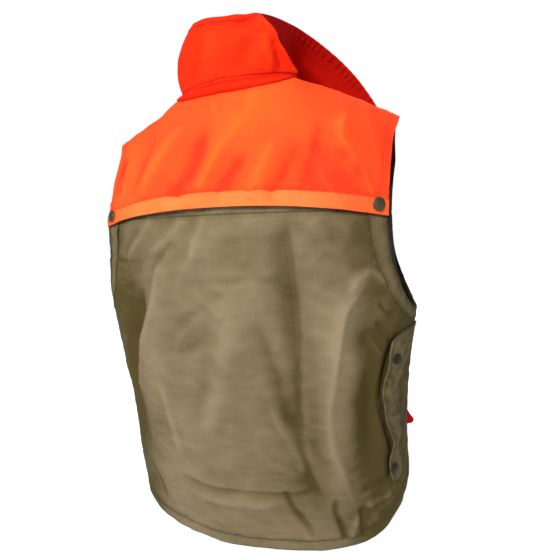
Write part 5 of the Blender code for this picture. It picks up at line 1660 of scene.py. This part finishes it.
class VEST_OT_zip(bpy.types.Operator):
    """Make the zip: tapes, teeth, slider and pull."""
    bl_idname = "vest.zip"
    bl_label = "Zip"

    def execute(self, context):
        s = settings()
        teeth = {"left": [], "right": []}
        low_z = float(hem_z(np.array(2.0))) + 0.003
        for side_name, side in SIDES.items():
            lay_sheet("zip_tape_" + side_name, zip_tape_sheet(side_name), TAPE_WALL, "tape_cloth",
                      "tape_cloth")
            shift = 0.5 * s.tooth_pitch if side > 0 else 0.0
            z = np.linspace(low_z + shift, SLIDER_Z - TEETH_BELOW_SLIDER, 120)
            x = np.full(z.shape, side * TEETH_CLOSED_X)
            closed = centre_front_point(x, z, np.full(z.shape, -TEETH_CLOSED_DEPTH))
            z = np.linspace(SLIDER_Z + TEETH_ABOVE_SLIDER, FRONT_NECK[side_name][1] - TEETH_END, 60)
            x = side * (front_edge_x(z, side_name) - TAPE_SHOWS + TEETH_OPEN_X)
            opened = centre_front_point(x, z, np.full(z.shape, -TEETH_OPEN_DEPTH))
            for line in (closed, opened):
                teeth[side_name].append((line, np.tile((0.0, -1.0, 0.0), (len(line), 1))))
        for side_name in SIDES:
            shape = tooth_shape()
            if side_name == "left":
                bmesh.ops.scale(shape, vec=(-1, 1, 1), verts=shape.verts)
                bmesh.ops.recalc_face_normals(shape, faces=shape.faces)
            piece = repeat_along("zip_teeth_" + side_name, teeth[side_name], shape, s.tooth_pitch,
                                 0.0, 3, "zip_plastic")
            if side_name == "left":
                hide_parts("zip_chain")
        for node in ("zip_slider", "zip_pull"):
            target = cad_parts[node]
            target.data.materials.clear()
            target.data.materials.append(finish_for("aged_brass"))
        return {"FINISHED"}


def photo_camera():
    """The camera, set up by its place, its turn and its lens."""
    level = math.cos(CAMERA_PITCH)
    ahead = Vector((math.sin(CAMERA_YAW) * level, -math.cos(CAMERA_YAW) * level,
                    math.sin(CAMERA_PITCH)))
    right = ahead.cross(Vector((0, 0, 1))).normalized()
    up = right.cross(ahead)
    across = math.cos(CAMERA_ROLL) * right - math.sin(CAMERA_ROLL) * up
    above = math.sin(CAMERA_ROLL) * right + math.cos(CAMERA_ROLL) * up
    data = bpy.data.cameras.new("camera")
    data.lens, data.sensor_width, data.clip_start = CAMERA_LENS, CAMERA_SENSOR, CAMERA_NEAR
    data.shift_x, data.shift_y = CAMERA_SHIFT
    camera = bpy.data.objects.new("camera", data)
    camera.matrix_world = (Matrix.Translation(Vector(CAMERA_PLACE))
                           @ Matrix((across, above, -ahead)).transposed().to_4x4())
    return camera


def studio_world():
    """A bright wall of light on the vest's front side, and a dimmer room on its back side."""
    world = bpy.data.worlds.new("studio")
    world.use_nodes = True
    room = Nodes(world.node_tree)
    way = room.add("ShaderNodeTexCoord", output="Generated")
    ahead = (room.add("ShaderNodeSeparateXYZ", Vector=way).part("Y") * -8.0 - 3.8).clamped()
    background = world.node_tree.nodes["Background"]
    world.node_tree.links.new(room.blend(ahead, (0.17, 0.175, 0.18), (1.0, 1.0, 1.0)).socket,
                              background.inputs["Color"])
    background.inputs["Strength"].default_value = 1.0
    return world


class VEST_OT_stage(bpy.types.Operator):
    """Set the camera, the floor and the lights."""
    bl_idname = "vest.stage"
    bl_label = "Stage"

    def execute(self, context):
        s = settings()
        scene = context.scene
        scene.camera = photo_camera()
        scene.collection.objects.link(scene.camera)
        scene.view_settings.view_transform = "Standard"
        floor_shape = bmesh.new()
        bmesh.ops.create_circle(floor_shape, cap_ends=True, segments=64, radius=FLOOR_RADIUS)
        mesh = bpy.data.meshes.new("floor")
        floor_shape.to_mesh(mesh)
        floor_shape.free()
        paint = Finish("floor_paint", Roughness=0.9, Base_Color=(*shade(s.floor, 0.7), 1.0),
                       Emission_Strength=0.95)
        across_floor = paint.add("ShaderNodeSeparateXYZ",
                                 Vector=paint.add("ShaderNodeTexCoord", output="Object")).part("Y")
        nearer = (0.45 - across_floor * 0.8).clamped()
        paint.feed("Emission Color", paint.blend(nearer, (0.08, 0.08, 0.08), s.floor))
        mesh.materials.append(paint.material)
        mesh.transform(Matrix.Translation((0, 0, FLOOR_Z)))
        floor = bpy.data.objects.new("floor", mesh)
        scene.collection.objects.link(floor)
        for name, place, size, power in (
                ("key", (0.30, 2.2, 1.15), 0.8, s.key_power),
                ("fill", (-0.9, 2.4, 0.4), 1.6, s.key_power * 0.04),
                ("front", (0.3, -2.8, 1.6), 1.6, s.key_power * 0.6)):
            lamp = bpy.data.lights.new(name, "AREA")
            lamp.energy, lamp.size = power, size
            light = bpy.data.objects.new(name, lamp)
            aim = Vector(LIGHTS_AIM) - Vector(place)
            light.matrix_world = (Matrix.Translation(Vector(place))
                                  @ aim.to_track_quat("-Z", "Y").to_matrix().to_4x4())
            scene.collection.objects.link(light)
        scene.world = studio_world()
        return {"FINISHED"}


STEPS = (VEST_OT_stage, VEST_OT_back_panel, VEST_OT_back_yoke, VEST_OT_collar, VEST_OT_fronts,
         VEST_OT_armhole_bands, VEST_OT_side_flaps, VEST_OT_snaps, VEST_OT_side_tabs, VEST_OT_zip,
         VEST_OT_stitching)


class VEST_PT_panel(bpy.types.Panel):
    """Lists the vest's settings and the steps that make it."""
    bl_label = "Hunting vest"
    bl_space_type = "VIEW_3D"
    bl_region_type = "UI"
    bl_category = "Vest"

    def draw(self, context):
        for key in VestSettings.__annotations__:
            self.layout.prop(context.scene.vest_settings, key)
        for step in STEPS:
            self.layout.operator(step.bl_idname)


CLASSES = (VestSettings, *STEPS, VEST_PT_panel)


def register():
    for kind in CLASSES:
        bpy.utils.register_class(kind)
    bpy.types.Scene.vest_settings = bpy.props.PointerProperty(type=VestSettings)


def unregister():
    del bpy.types.Scene.vest_settings
    for kind in reversed(CLASSES):
        bpy.utils.unregister_class(kind)


def main():
    register()
    for step in STEPS:
        group, name = step.bl_idname.split(".")
        getattr(getattr(bpy.ops, group), name)()
    bpy.context.view_layer.update()


if __name__ == "__main__":
    main()
